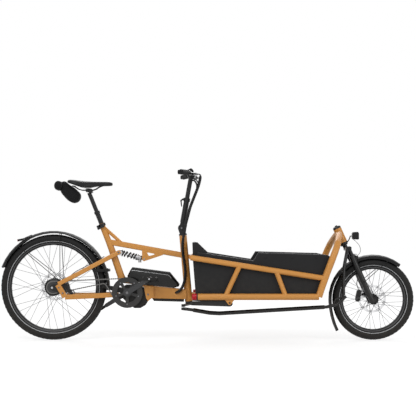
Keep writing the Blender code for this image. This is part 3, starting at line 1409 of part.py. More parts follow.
def make_ring_lock(black):
    height = REAR_AXLE.z + 0.1075
    front_inner = REAR_AXLE.x + REAR_TYRE_RADIUS + 0.0113
    rear_end = PIVOT.x - 0.140
    outline = [(rear_end, 0.056), (front_inner - 0.020, 0.056), (front_inner + 0.0035, 0.046),
               (front_inner + 0.010, 0.030)]
    inner = [(rear_end, 0.0385), (front_inner - 0.014, 0.0385), (front_inner, 0.028)]
    loop = outline + [(x, -y) for x, y in outline[::-1]]
    loop += [(x, -y) for x, y in inner] + inner[::-1]
    body = prism([Vector((x, y, height - 0.008)) for x, y in loop], Z_AXIS * 0.016)
    cylinder = disc(side(front_inner - 0.004, height + 0.002), 0.0125, -0.067, -0.044, 14)
    lug_x = (PIVOT.x - 0.113, PIVOT.x - 0.098)
    lugs = []
    for which in (RIGHT, LEFT):
        low, high = sorted((which * 0.0450, which * 0.0540))
        lugs.append(
            plate(
                [
                    (lug_x[0], height + 0.004),
                    (lug_x[1], height + 0.004),
                    (lug_x[1], stay_height(lug_x[1]) - STAY_RISE - SEAT),
                    (lug_x[0], stay_height(lug_x[0]) - STAY_RISE - SEAT),
                ],
                low, high,
            )
        )
    add_piece("ring_lock", "swingarm", black, [body, cylinder] + lugs)


# Shock

SHOCK_AXIS = (SHOCK_REAR - SHOCK_FRONT).normalized()
SHOCK_LENGTH = (SHOCK_REAR - SHOCK_FRONT).length


def add_cord(name, body, material, points, radius, resolution):
    """A round cord or wire along a smooth path, with its ends filled."""
    empty, at = BODIES[body]
    curve = bpy.data.curves.new(name, "CURVE")
    curve.dimensions = "3D"
    curve.bevel_depth = radius
    curve.bevel_resolution = resolution
    curve.use_fill_caps = True
    spline = curve.splines.new("POLY")
    spline.points.add(len(points) - 1)
    for target, point in zip(spline.points, points):
        target.co = (*(point - at), 1)
    spline.use_smooth = True
    curve.materials.append(material)
    obj = bpy.data.objects.new(name, curve)
    bpy.context.scene.collection.objects.link(obj)
    obj.parent = empty
    return obj


def shock_at(distance):
    return SHOCK_FRONT + SHOCK_AXIS * distance


def make_shock(black, grey, steel):
    add_body("shock_body", SHOCK_FRONT, "frame")
    lower_seat = 0.0465
    upper_seat = SHOCK_LENGTH - 0.0130
    body = turned(
        [(0, 0.006), (0.0088, 0.008), (0.0112, 0.0155), (0.0150, 0.0205), (0.0165, 0.0230),
         (0.0165, 0.040), (0.0205, 0.0405), (0.0205, lower_seat), (0.0125, lower_seat + 0.0004),
         (0.0125, 0.104), (0, 0.104)],
        SHOCK_FRONT, SHOCK_AXIS, 12,
    )
    eye = disc(SHOCK_FRONT, 0.0115, -0.0116, 0.0116, 12)
    bolt = pin(SHOCK_FRONT - Y_AXIS * 0.0235, SHOCK_FRONT + Y_AXIS * 0.0235, SHOCK_PIN_RADIUS, 10)
    reservoir = tube([shock_at(0.030) - Z_AXIS * 0.010, shock_at(0.030) - Z_AXIS * 0.030], 0.010,
                     sides=10)
    rod_radius = 0.0070
    bore = pin(shock_at(0.022), shock_at(0.12), rod_radius + RUNNING_GAP, 12)
    add_piece("shock_body", "shock_body", grey, [body, eye, bolt, reservoir], [bore])

    add_body("shock_shaft", shock_at(0.104), "shock_body")
    rod = pin(shock_at(0.058), shock_at(SHOCK_LENGTH - 0.006), rod_radius, 12)
    collar = turned([(0, upper_seat), (0.0205, upper_seat), (0.0205, upper_seat + 0.0035),
                     (0.0110, upper_seat + 0.0060), (0, upper_seat + 0.0060)],
                    SHOCK_FRONT, SHOCK_AXIS, 12)
    rear_eye = disc(SHOCK_REAR, 0.0105, -0.0120, 0.0120, 12)
    eye_bore = pin(SHOCK_REAR - Y_AXIS * 0.05, SHOCK_REAR + Y_AXIS * 0.05, SHOCK_PIN_RADIUS + 0.0010, 10)
    add_piece("shock_shaft", "shock_shaft", steel, [rod, collar, rear_eye], [eye_bore])

    across = SHOCK_AXIS.cross(Y_AXIS).normalized()
    start = lower_seat + SPRING_WIRE / 2 + SEAT
    end = upper_seat - SPRING_WIRE / 2 - SEAT
    count = SPRING_COILS * 8
    points = []
    for k in range(count + 1):
        turn = 2 * math.pi * SPRING_COILS * k / count
        share = k / count
        climb = share + 0.055 * math.sin(2 * math.pi * share) * -1
        points.append(
            shock_at(start + (end - start) * climb)
            + (across * math.cos(turn) + Y_AXIS * math.sin(turn)) * SPRING_RADIUS
        )
    add_cord("shock_spring", "shock_body", black, points, SPRING_WIRE / 2, 1)
    least = min(
        (a - b).length for i, a in enumerate(points) for b in points[i + 5:]
    )
    print(f"shock_spring: least gap to itself {1000 * (least - SPRING_WIRE):.2f} mm")


# Drive

TENSIONER_PIVOT = REAR_AXLE + Vector((0.080, 0, 0.0145))
TENSIONER_WHEEL = REAR_AXLE + Vector((0.1195, 0, -0.0350))
IDLER_TEETH = 9


def pitch_radius(teeth):
    return CHAIN_PITCH / (2 * math.sin(math.pi / teeth))


def make_crankset(black, steel):
    add_body("crank", CRANK, "frame")
    y = -CHAINLINE
    ring = plate(toothed(CRANK, CHAINRING_TEETH), y - 0.0015, y + 0.0015)
    hub = disc(CRANK, 0.024, -0.0720, -0.0512, 14)
    guard = disc(CRANK, 0.097, y - 0.0095, y - 0.0065, 30, 0.066)
    spindle = pin(CRANK - Y_AXIS * 0.080, CRANK + Y_AXIS * 0.080, SPINDLE_RADIUS, 12)
    windows = []
    studs = []
    for k in range(5):
        middle = 2 * math.pi * k / 5 + 0.3
        corners = []
        for radius, spread_angle in ((0.030, 0.36), (0.064, 0.46)):
            sweep = [-1, 0, 1] if radius > 0.05 else [1, -1]
            for s in sweep:
                angle = middle + s * spread_angle
                corners.append((CRANK.x + radius * math.cos(angle), CRANK.z + radius * math.sin(angle)))
        windows.append(plate(corners, y - 0.004, y + 0.004))
        angle = middle + math.pi / 5
        stud_at = CRANK + Vector((0.0735 * math.cos(angle), 0, 0.0735 * math.sin(angle)))
        studs.append(disc(stud_at, 0.0055, y - 0.0075, y + 0.0010, 6))
    joined = [ring, guard, hub, spindle] + studs
    pedals = []
    for which in (RIGHT, LEFT):
        reach = Vector((math.cos(CRANK_ANGLE), 0, math.sin(CRANK_ANGLE))) * CRANK_LENGTH * -which
        end = CRANK + reach
        outline = wrapped([(CRANK.x, CRANK.z, 0.017), (end.x, end.z, 0.0125)], 10)
        low, high = sorted((which * 0.0695, which * 0.0835))
        joined.append(plate(outline, low, high))
        axle = end + Y_AXIS * which * 0.080
        joined.append(pin(axle, axle + Y_AXIS * which * 0.098, 0.0055, 10))
        pedals.append((which, end))
    add_piece("crankset", "crank", black, joined, windows)
    for which, end in pedals:
        name = "pedal_right" if which == RIGHT else "pedal_left"
        tilt = 0.0 if which == RIGHT else math.radians(-35)
        pedal_at = end + Y_AXIS * which * 0.136
        add_body(name, pedal_at, "crank")
        half = 0.048
        shapes = [plate([(-0.047, -0.006), (-0.043, -0.009), (0.043, -0.009), (0.047, -0.006),
                         (0.047, 0.006), (0.043, 0.009), (-0.043, 0.009), (-0.047, 0.006)], -half, half)]
        shapes.append(disc(Vector((0, 0, 0)), 0.0125, -half - 0.001, half - 0.002, 14))
        cuts = [block((x - 0.0115, -half + 0.009, -0.02), (x + 0.0115, half - 0.009, 0.02))
                for x in (-0.0265, 0.0265)]
        outer = half * which
        cuts.append(pin(Y_AXIS * (outer - which * 0.002), Y_AXIS * -which * 0.06, 0.0055 + RUNNING_GAP, 10))
        turn = Matrix.Translation(pedal_at) @ Matrix.Rotation(tilt, 4, "Y")
        for shape in shapes + cuts:
            bmesh.ops.transform(shape, matrix=turn, verts=shape.verts)
        add_piece(name, name, black, shapes, cuts)

    add_body("rear_sprocket", REAR_AXLE, "swingarm")
    sprocket = plate(toothed(REAR_AXLE, SPROCKET_TEETH), y - 0.0015, y + 0.0015)
    boss = disc(REAR_AXLE, 0.022, y - 0.0022, -0.0453, 14)
    sprocket_bore = pin(REAR_AXLE - Y_AXIS * 0.1, REAR_AXLE, AXLE_RADIUS + RUNNING_GAP, 12)
    add_piece("rear_sprocket", "rear_sprocket", steel, [sprocket, boss], [sprocket_bore])

    add_body("idler_pulley", IDLER, "frame")
    idler = plate(toothed(IDLER, IDLER_TEETH, 0.004, 0.0078), y - 0.0013, y + 0.0013)
    idler_boss = disc(IDLER, 0.008, y - 0.0030, y + 0.0080, 14)
    idler_bore = pin(IDLER - Y_AXIS * 0.1, IDLER, 0.004 + RUNNING_GAP, 8)
    add_piece("idler_pulley", "idler_pulley", black, [idler, idler_boss], [idler_bore])


def make_tensioner(black):
    pivot, wheel = TENSIONER_PIVOT, TENSIONER_WHEEL
    housing = plate(
        wrapped([(pivot.x, pivot.z, 0.0150), (REAR_AXLE.x + 0.056, REAR_AXLE.z - 0.010, 0.0100)], 12),
        -0.0737 + SEAT, -0.0675,
    )
    bore = pin(side(pivot.x, pivot.z, -0.08), side(pivot.x, pivot.z, -0.05), 0.0050 + RUNNING_GAP, 10)
    add_piece("chain_tensioner", "swingarm", black, housing, [bore])
    add_body("tensioner_arm", pivot, "swingarm")
    arm = plate(wrapped([(pivot.x, pivot.z, 0.0135), (wheel.x, wheel.z, 0.0095)], 12), -0.0669, -0.0622)
    hinge = pin(side(pivot.x, pivot.z, -0.0725), side(pivot.x, pivot.z, -0.0640), 0.0050, 10)
    post = disc(side(pivot.x, pivot.z), 0.0120, -0.0625, -0.0520, 14)
    y = -CHAINLINE
    pulley = plate(toothed(wheel, IDLER_TEETH, 0.004, 0.0078), y - 0.0013, y + 0.0013)
    axle = disc(wheel, 0.0065, -0.0630, y + 0.0060, 12)
    add_piece("tensioner_arm", "tensioner_arm", black, [arm, hinge, post, pulley, axle])


def belt_points(circles):
    """Points one pitch apart round a belt on circles (centre, radius, way), way +1 being clockwise."""
    pieces = []
    normals = []
    for (c1, r1, s1), (c2, r2, s2) in zip(circles, circles[1:] + circles[:1]):
        gap = Vector((c2.x - c1.x, c2.z - c1.z))
        heading = math.atan2(gap.y, gap.x) + math.acos((s1 * r1 - s2 * r2) / gap.length)
        normals.append(heading)
    for i, (centre, radius, way) in enumerate(circles):
        start, end = normals[i - 1], normals[i]
        turn = (start - end) % (2 * math.pi) if way > 0 else -((end - start) % (2 * math.pi))
        steps = 48
        for k in range(steps + 1):
            angle = start - turn * k / steps
            pieces.append(Vector((centre.x + way * radius * math.cos(angle), 0,
                                  centre.z + way * radius * math.sin(angle))))
    lengths = [0.0]
    for a, b in zip(pieces, pieces[1:] + pieces[:1]):
        lengths.append(lengths[-1] + (b - a).length)
    links = 2 * round(lengths[-1] / CHAIN_PITCH / 2)
    wanted = [lengths[-1] * k / links for k in range(links)]
    points = []
    i = 0
    for distance in wanted:
        while lengths[i + 1] < distance:
            i += 1
        share = (distance - lengths[i]) / max(lengths[i + 1] - lengths[i], 1e-9)
        points.append(pieces[i].lerp(pieces[(i + 1) % len(pieces)], share))
    return points


CHAIN_RISE = 0.0043
CHAIN_GROOVE = 0.0034
CHAIN_SECTION = [(CHAIN_RISE, CHAIN_WIDTH / 2), (-CHAIN_RISE, CHAIN_WIDTH / 2), (-CHAIN_RISE, 0.0019),
                 (CHAIN_GROOVE, 0.0019), (CHAIN_GROOVE, -0.0019), (-CHAIN_RISE, -0.0019),
                 (-CHAIN_RISE, -CHAIN_WIDTH / 2), (CHAIN_RISE, -CHAIN_WIDTH / 2)]


def make_chain(steel):
    """One closed band, as wide and high as the chain's plates, with a groove for the teeth inside."""
    route = [
        (REAR_AXLE, pitch_radius(SPROCKET_TEETH), 1),
        (CRANK, pitch_radius(CHAINRING_TEETH), 1),
        (IDLER, pitch_radius(IDLER_TEETH), -1),
        (TENSIONER_WHEEL, pitch_radius(IDLER_TEETH), -1),
    ]
    points = belt_points(route)
    bm = bmesh.new()
    rings = []
    for i, point in enumerate(points):
        before = (point - points[i - 1]).normalized()
        along = (points[(i + 1) % len(points)] - points[i - 1]).normalized()
        if before.dot(along) > 0.9999 and i % 8:
            continue
        outward = Vector((-along.z, 0, along.x))
        ring = []
        for rise, aside in CHAIN_SECTION:
            ring.append(bm.verts.new(point + outward * rise + Y_AXIS * (aside - CHAINLINE)))
        rings.append(ring)
    skin(bm, rings, closed=True)
    add_piece("chain", "swingarm", steel, bm)


# Seat

SLEEVE_TOP = 0.080
SHAFT_TOP = 0.211
POST_RADIUS = 0.0135
RAIL_LINE = SEAT_TOP + Vector((-0.078, 0, 0.212))


def make_seat_post(black, grey):
    clamp_height = 0.018
    outer = SEAT_TUBE_RADIUS + 0.0045
    inner = (SEAT_TUBE_RADIUS + SEAT) / math.cos(math.pi / 16)
    section = [(inner, -clamp_height), (outer, -clamp_height), (outer, -0.001), (inner, -0.001)]
    ring = turned(section, SEAT_TOP, SEAT_UP, 16, closed=True)
    ear = tube([seat_at(-0.0095, -outer - 0.0030, -0.0122), seat_at(-0.0095, -outer - 0.0030, 0.0122)],
               0.0075, 0.0055, 8, True)
    add_piece("seat_clamp", "frame", black, [ring, ear])
    pivot = seat_at(-0.0095, -outer - 0.0045, -0.0195)
    add_body("seat_clamp_lever", pivot, "frame")
    drop = 0.0145
    cam = turned([(0, -drop - 0.006), (0.0070, -drop - 0.006), (0.0070, 0.006), (0, 0.006)],
                 pivot, SEAT_UP, 12)
    foot = pivot - SEAT_UP * drop
    blade = tube(
        rounded([foot, foot - SEAT_AHEAD * 0.006 - Y_AXIS * 0.010,
                 foot + SEAT_AHEAD * 0.016 - Y_AXIS * 0.0125,
                 foot + SEAT_AHEAD * 0.042 - Y_AXIS * 0.0115], 0.008, 2),
        0.0026, 0.0055, 8, True,
    )
    add_piece("seat_clamp_lever", "seat_clamp_lever", grey, [cam, blade])

    add_body("seat_sleeve", SEAT_TOP, "frame")
    sleeve = pin(seat_at(-0.075), seat_at(SLEEVE_TOP), SLEEVE_RADIUS, 12)
    collar = pin(seat_at(SLEEVE_TOP - 0.012), seat_at(SLEEVE_TOP + 0.003), SLEEVE_RADIUS + 0.003, 12)
    bore = pin(seat_at(-0.09), seat_at(SLEEVE_TOP + 0.01), POST_RADIUS + SEAT, 12)
    add_piece("seat_sleeve", "seat_sleeve", black, [sleeve, collar], [bore])

    add_body("seat_shaft", seat_at(SLEEVE_TOP), "seat_sleeve")
    shaft = pin(seat_at(0.020), seat_at(SHAFT_TOP), POST_RADIUS, 12)
    x, z = RAIL_LINE.x, RAIL_LINE.z
    head = plate([(x - 0.018, z - 0.012), (x + 0.022, z - 0.018), (x + 0.022, z + 0.004),
                  (x + 0.014, z + 0.010), (x - 0.014, z + 0.010), (x - 0.022, z + 0.004)],
                 -0.029, 0.029)
    rail_bores = [pin(side(x - 0.1, z, y), side(x + 0.1, z, y), 0.0035 + RUNNING_GAP, 8)
                  for y in (-0.022, 0.022)]
    add_piece("seat_shaft", "seat_shaft", black, [shaft, head], rail_bores)


SADDLE_SECTIONS = [
    (-0.1345, 0.052, 0.0550, 0.0360),
    (-0.128, 0.070, 0.0605, 0.0290),
    (-0.112, 0.083, 0.0625, 0.0230),
    (-0.085, 0.090, 0.0610, 0.0190),
    (-0.050, 0.086, 0.0565, 0.0165),
    (-0.015, 0.070, 0.0535, 0.0170),
    (0.020, 0.050, 0.0520, 0.0200),
    (0.050, 0.037, 0.0515, 0.0230),
    (0.080, 0.029, 0.0513, 0.0255),
    (0.110, 0.0245, 0.0510, 0.0270),
    (0.132, 0.0220, 0.0500, 0.0278),
    (0.144, 0.0165, 0.0470, 0.0290),
    (0.1475, 0.0085, 0.0430, 0.0330),
]
PAN_HEIGHT = 0.0290


def make_saddle(black, steel):
    """A cushion with a crown all round its edge, closed below by a flat pan inside its skirt."""
    origin = RAIL_LINE
    bm = bmesh.new()
    rings = []
    for x, half, top, low in SADDLE_SECTIONS:
        pan = max(PAN_HEIGHT, low + 0.002)
        inner = max(half - 0.011, half * 0.55)
        ring = [(-inner, pan), (-half * 0.93, low + 0.0015)]
        middle = low + (top - low) * 0.25
        for k in range(13):
            angle = math.pi * k / 12
            c, s = math.cos(angle), math.sin(angle)
            y = -half * math.copysign(abs(c) ** 0.75, c)
            ring.append((y, middle + (top - middle) * s**0.62))
        ring += [(half * 0.93, low + 0.0015), (inner, pan)]
        rings.append([bm.verts.new(origin + Vector((x, y, z))) for y, z in ring])
    skin(bm, rings)
    add_piece("saddle", "seat_shaft", black, bm)
    pan_z = origin.z + PAN_HEIGHT - SEAT
    rails = []
    for which in (RIGHT, LEFT):
        path = [
            origin + Vector((0.080, which * 0.009, PAN_HEIGHT - 0.004)),
            origin + Vector((0.062, which * 0.014, PAN_HEIGHT - 0.009)),
            origin + Vector((0.036, which * 0.022, 0)),
            origin + Vector((-0.056, which * 0.022, 0)),
            origin + Vector((-0.096, which * 0.034, PAN_HEIGHT - 0.004)),
        ]
        rails.append(tube(rounded(path, 0.012, 1), 0.0035, sides=8))
        end = path[-1]
        rails.append(block((end.x - 0.010, end.y - 0.007, pan_z - 0.006), (end.x + 0.006, end.y + 0.007,
                                                                        pan_z)))
    nose = path[0]
    rails.append(block((nose.x - 0.007, -0.0125, pan_z - 0.006), (nose.x + 0.006, 0.0125, pan_z)))
    add_piece("saddle_rails", "seat_shaft", steel, rails)


def make_saddle_bag(black):
    x, z = RAIL_LINE.x, RAIL_LINE.z
    strap = z - 0.00323 - SEAT
    outline = [
        (x - 0.036, strap), (x - 0.046, z - 0.030), (x - 0.084, z - 0.078), (x - 0.093, z - 0.081),
        (x - 0.108, z - 0.077), (x - 0.168, z - 0.022), (x - 0.177, z + 0.010), (x - 0.176, z + 0.044),
        (x - 0.160, z + 0.052), (x - 0.1375, z + 0.050), (x - 0.1375, z + 0.012), (x - 0.110, z + 0.006),
        (x - 0.094, z - 0.006), (x - 0.060, strap),
    ]
    pouch = plate(outline, -0.052, 0.052)
    roll_at = side(x - 0.189, z + 0.028)
    roll = turned([(0, -0.066), (0.020, -0.066), (0.027, -0.058), (0.027, 0.058), (0.020, 0.066),
                   (0, 0.066)], roll_at, Y_AXIS, 16)
    add_piece("saddle_bag", "seat_shaft", black, [pouch, roll])


SLEEVE_PATH = [
    (-0.0415, -0.030, 1.026), (-0.059, -0.030, 0.999), (-0.063, -0.030, 0.963),
    (-0.092, -0.032, 0.896), (-0.1255, -0.034, 0.792), (-0.143, -0.0350, 0.6775),
    (-0.1515, -0.0328, 0.640), (-0.150, -0.0338, 0.519), (-0.1407, -0.0350, 0.4286),
    (-0.1438, -0.0385, 0.364), (-0.164, -0.0430, 0.318), (-0.190, -0.0410, 0.302),
]


def smooth_path(points, spacing):
    """A smooth curve through points, as points about one spacing apart."""
    fine = []
    ends = [points[0] * 2 - points[1]] + points + [points[-1] * 2 - points[-2]]
    for p0, p1, p2, p3 in zip(ends, ends[1:], ends[2:], ends[3:]):
        steps = max(1, round((p2 - p1).length / spacing))
        for k in range(steps):
            t = k / steps
            fine.append(
                0.5 * (2 * p1 + (p2 - p0) * t + (2 * p0 - 5 * p1 + 4 * p2 - p3) * t**2
                       + (3 * p1 - p0 - 3 * p2 + p3) * t**3)
            )
    fine.append(points[-1].copy())
    return fine


def make_cable_sleeve(black):
    points = [Vector(p) for p in SLEEVE_PATH]
    add_cord("cable_sleeve", "frame", black, smooth_path(points, 0.036), 0.008, 2)


clear_scene()
orange = finish("orange paint", (210, 144, 68), 0.35)
black = finish("black parts", (30, 30, 32), 0.5)
rubber = finish("rubber", (26, 26, 27), 0.8)
grey = finish("grey metal", (120, 122, 125), 0.35, 0.9)
steel = finish("bright steel", (190, 192, 195), 0.25, 1.0)
panel_black = finish("black panel", (34, 34, 36), 0.6)
red = finish("red lens", (150, 20, 18), 0.25)
make_rear_frame(orange)
make_cargo_frame(orange)
make_box(panel_black, panel_black)
make_rail_caps(black)
make_stand(black)
make_motor(black)
make_battery(black)
make_swingarm(orange)
make_rear_axle(black)
make_rear_wheel(rubber, black, steel)
make_rear_mudguard(black, red)
make_ring_lock(black)
make_shock(black, grey, steel)
make_crankset(black, steel)
make_tensioner(black)
make_chain(steel)
make_seat_post(black, grey)
make_saddle(black, steel)
make_saddle_bag(black)
make_steering(black)
make_stem(black, grey)
make_handlebar(black, rubber)
make_fork(black)
make_fork_lowers(black)
make_front_wheel(rubber, black, steel)
make_front_mudguard(black)
make_tie_rod(black)
make_cable_sleeve(black)
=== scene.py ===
# %% [markdown]
# # An electric cargo bike
# The solids of the bike come packed from the CAD step, and stay as they are. This notebook gives
# each of them a finish, and adds what is too soft or too fine for a solid: the round tyres with
# their tread, the links of the chain, the padded saddle, the bag under it, bolts, hoses and lenses.

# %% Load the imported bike
import math

import bmesh
import bpy
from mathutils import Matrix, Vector, noise


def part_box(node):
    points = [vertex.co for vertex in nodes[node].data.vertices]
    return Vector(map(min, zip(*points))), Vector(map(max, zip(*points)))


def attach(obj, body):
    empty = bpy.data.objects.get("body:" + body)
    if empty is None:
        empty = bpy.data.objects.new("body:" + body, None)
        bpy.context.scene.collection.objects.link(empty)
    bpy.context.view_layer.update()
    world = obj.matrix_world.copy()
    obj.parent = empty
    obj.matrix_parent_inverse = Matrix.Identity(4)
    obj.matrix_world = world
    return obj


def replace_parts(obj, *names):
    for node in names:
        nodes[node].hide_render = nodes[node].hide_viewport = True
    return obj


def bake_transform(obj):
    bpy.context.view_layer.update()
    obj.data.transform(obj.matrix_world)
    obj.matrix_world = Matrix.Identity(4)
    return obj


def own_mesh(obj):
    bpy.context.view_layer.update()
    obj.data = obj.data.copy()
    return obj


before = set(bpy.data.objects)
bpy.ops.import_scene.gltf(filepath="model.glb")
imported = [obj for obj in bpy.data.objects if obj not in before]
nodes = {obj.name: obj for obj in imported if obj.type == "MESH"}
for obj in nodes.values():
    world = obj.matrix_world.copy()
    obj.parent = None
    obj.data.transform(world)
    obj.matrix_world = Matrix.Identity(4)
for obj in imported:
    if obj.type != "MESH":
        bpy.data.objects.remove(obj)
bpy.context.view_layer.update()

# %% [markdown]
# ## Camera
# The photograph is a side view taken from far away: both wheels are nearly round, and the far side
# of the box nearly hides behind the near one. A long lens 6.9 m away gives that. The camera stands
# a little lower than the middle of the picture, so the picture is shifted up instead of tilting.

# %% Camera of the photograph
CAMERA_DISTANCE = 6.9
CAMERA_X, CAMERA_HEIGHT = 0.004, 0.697
METRES_ACROSS = 2.6416
SENSOR_WIDTH = 36.0
VIEW_CENTRE = 0.8363

camera_data = bpy.data.cameras.new("camera")
camera_data.sensor_width = SENSOR_WIDTH
camera_data.lens = SENSOR_WIDTH * CAMERA_DISTANCE / METRES_ACROSS
camera_data.shift_y = (VIEW_CENTRE - CAMERA_HEIGHT) / METRES_ACROSS
camera = bpy.data.objects.new("camera", camera_data)
camera.location = (CAMERA_X, -CAMERA_DISTANCE, CAMERA_HEIGHT)
camera.rotation_euler = (math.radians(90), 0, 0)
bpy.context.scene.collection.objects.link(camera)
bpy.context.scene.camera = camera
print("lens", round(camera_data.lens, 1), "mm")

# %% [markdown]
# ## Light
# A packshot has large soft lamps, so that black parts show their edges without hard highlights.
# The strongest stands on the camera's side and above, a weak one lights the front end, one stands
# behind, and the white room fills the rest. The room is white to the camera and in reflections,
# but lights the bike less.

# %% Soft lamps
def add_lamp(name, place, target, size, power):
    """A rectangular lamp that points at a target."""
    data = bpy.data.lights.new(name, "AREA")
    data.shape = "RECTANGLE"
    data.size, data.size_y = size
    data.energy = power
    lamp = bpy.data.objects.new(name, data)
    lamp.location = place
    lamp.rotation_euler = (Vector(target) - Vector(place)).to_track_quat("-Z", "Y").to_euler()
    bpy.context.scene.collection.objects.link(lamp)


add_lamp("key_lamp", (-1.6, -3.6, 3.4), (0, 0, 0.4), (3.2, 2.2), 98)
add_lamp("side_lamp", (3.0, -2.4, 1.6), (0.2, 0, 0.4), (1.6, 2.4), 30)
add_lamp("back_lamp", (0.6, 3.4, 3.0), (0, 0, 0.4), (3.0, 1.6), 60)
print("lamps:", [lamp.name for lamp in bpy.data.lights])

# %% Helpers for the nodes of the room
def math_node(owner, operation, first, second=None, third=None):
    """A Math node whose inputs are numbers or sockets; gives its output socket."""
    node = owner.nodes.new("ShaderNodeMath")
    node.operation = operation
    for socket, value in zip(node.inputs, (first, second, third)):
        if value is None:
            continue
        if isinstance(value, (int, float)):
            socket.default_value = value
        else:
            owner.links.new(value, socket)
    return node.outputs[0]


def map_range(tree, value, **limits):
    """Stretches a value socket from one range to another; the limits are given by name."""
    node = tree.nodes.new("ShaderNodeMapRange")
    for label, limit in limits.items():
        node.inputs[label.replace("_", " ")].default_value = limit
    tree.links.new(value, node.inputs["Value"])
    return node.outputs[0]


def shows_background(tree):
    """A mask of the rays that show the background: seen straight, reflected or through glass."""
    rays = tree.nodes.new("ShaderNodeLightPath").outputs
    mask = math_node(tree, "MAXIMUM", rays["Is Camera Ray"], rays["Is Glossy Ray"])
    return math_node(tree, "MAXIMUM", mask, rays["Is Transmission Ray"])


# %% White room
ROOM_LIGHT = 0.36
world = bpy.data.worlds.new("white_room")
world.use_nodes = True
bpy.context.scene.world = world
tree = world.node_tree
tree.nodes.clear()
strength = map_range(tree, shows_background(tree), To_Min=ROOM_LIGHT, To_Max=1.0)
sky = tree.nodes.new("ShaderNodeBackground")
sky.inputs["Color"].default_value = (1, 1, 1, 1)
tree.links.new(strength, sky.inputs["Strength"])
room = tree.nodes.new("ShaderNodeOutputWorld")
tree.links.new(sky.outputs[0], room.inputs["Surface"])
bpy.context.scene.view_settings.view_transform = "Standard"
print("the room lights with", ROOM_LIGHT)

# %% [markdown]
# ## Floor
# The floor is a wide pale plane that sends light back up to the bike. To the camera it is darker
# and glows by itself, just enough to reach white. So it melts into the background, the soft shadow
# stays, and it is never so bright that it eats thin things in front of it, such as the spokes. The
# lamps reach less of it far behind the bike, so it glows more there.

# %% Helpers for the colours of a piece
def own_place(tree):
    """The X, Y and Z sockets of a piece's own coordinates, which move with it."""
    split = tree.nodes.new("ShaderNodeSeparateXYZ")
    tree.links.new(tree.nodes.new("ShaderNodeTexCoord").outputs["Object"], split.inputs[0])
    return split.outputs


def mix_colour(tree, factor, first, second):
    """Mixes two colours, given as values or sockets, by a factor socket."""
    node = tree.nodes.new("ShaderNodeMix")
    node.data_type = "RGBA"
    tree.links.new(factor, node.inputs[0])
    for socket, value in ((node.inputs[6], first), (node.inputs[7], second)):
        if isinstance(value, tuple):
            socket.default_value = value
        else:
            tree.links.new(value, socket)
    return node.outputs[2]


# %% Pale floor
LIT_COLOUR, SEEN_COLOUR = (0.9, 0.9, 0.9, 1), (0.46, 0.46, 0.46, 1)
far = 14.0
floor_mesh = bpy.data.meshes.new("studio_floor")
floor_corners = [(-far, -far, 0), (far, -far, 0), (far, far, 0), (-far, far, 0)]
floor_mesh.from_pydata(floor_corners, [], [(0, 1, 2, 3)])
studio_floor = bpy.data.objects.new("studio_floor", floor_mesh)
studio_floor.location.z = -0.0005
bpy.context.scene.collection.objects.link(studio_floor)
floor_paint = bpy.data.materials.new("floor_paint")
floor_paint.use_nodes = True
floor_nodes = floor_paint.node_tree
floor_shader = floor_nodes.nodes["Principled BSDF"]
floor_shader.inputs["Roughness"].default_value = 0.95
floor_shader.inputs["Specular IOR Level"].default_value = 0.1
is_seen = shows_background(floor_nodes)
pale = mix_colour(floor_nodes, is_seen, LIT_COLOUR, SEEN_COLOUR)
floor_nodes.links.new(pale, floor_shader.inputs["Base Color"])
glow = map_range(floor_nodes, own_place(floor_nodes)["Y"], From_Min=2.4, From_Max=6.0, To_Min=0.68,
                 To_Max=0.82)
lift = math_node(floor_nodes, "MULTIPLY", glow, is_seen)
floor_shader.inputs["Emission Color"].default_value = (1, 1, 1, 1)
floor_nodes.links.new(lift, floor_shader.inputs["Emission Strength"])
studio_floor.data.materials.append(floor_paint)
print("floor", 2 * far, "m across")

# %% [markdown]
# ## Shared surface effects
# Real finishes are never one flat colour. Four effects come back in several of them, so each is
# built once as a node group: a fine grain with slow clouds, road dust that settles low on the
# bike, a ring round an axle, which tells a rim from its spokes, and a weave.

# %% A helper for node groups
def node_group(name, inputs, outputs):
    """An empty shader group with float sockets, and the nodes at its two ends."""
    group = bpy.data.node_groups.new(name, "ShaderNodeTree")
    for label, value in inputs:
        socket = group.interface.new_socket(label, in_out="INPUT", socket_type="NodeSocketFloat")
        socket.default_value = value
    for label in outputs:
        group.interface.new_socket(label, in_out="OUTPUT", socket_type="NodeSocketFloat")
    source = group.nodes.new("NodeGroupInput")
    target = group.nodes.new("NodeGroupOutput")
    return group, source, target


def noise_at(owner, scale, detail=2.0, stretch=None):
    """Noise on the piece's own coordinates, which move with it."""
    place = owner.nodes.new("ShaderNodeTexCoord").outputs["Object"]
    if stretch:
        mapping = owner.nodes.new("ShaderNodeMapping")
        mapping.inputs["Scale"].default_value = stretch
        owner.links.new(place, mapping.inputs["Vector"])
        place = mapping.outputs[0]
    texture = owner.nodes.new("ShaderNodeTexNoise")
    texture.inputs["Detail"].default_value = detail
    owner.links.new(place, texture.inputs["Vector"])
    if isinstance(scale, (int, float)):
        texture.inputs["Scale"].default_value = scale
    else:
        owner.links.new(scale, texture.inputs["Scale"])
    return texture.outputs["Fac"]


def cells_at(owner, scale):
    """Small rounded cells on the piece's own coordinates."""
    texture = owner.nodes.new("ShaderNodeTexVoronoi")
    texture.inputs["Scale"].default_value = scale
    owner.links.new(owner.nodes.new("ShaderNodeTexCoord").outputs["Object"], texture.inputs["Vector"])
    return texture.outputs["Distance"]


# %% Grain and clouds
grain_group, source, target = node_group("grain", [("Scale", 300.0)], ["Fine", "Clouds"])
grain_group.links.new(noise_at(grain_group, source.outputs["Scale"]), target.inputs["Fine"])
grain_group.links.new(noise_at(grain_group, 7.0, 4.0), target.inputs["Clouds"])

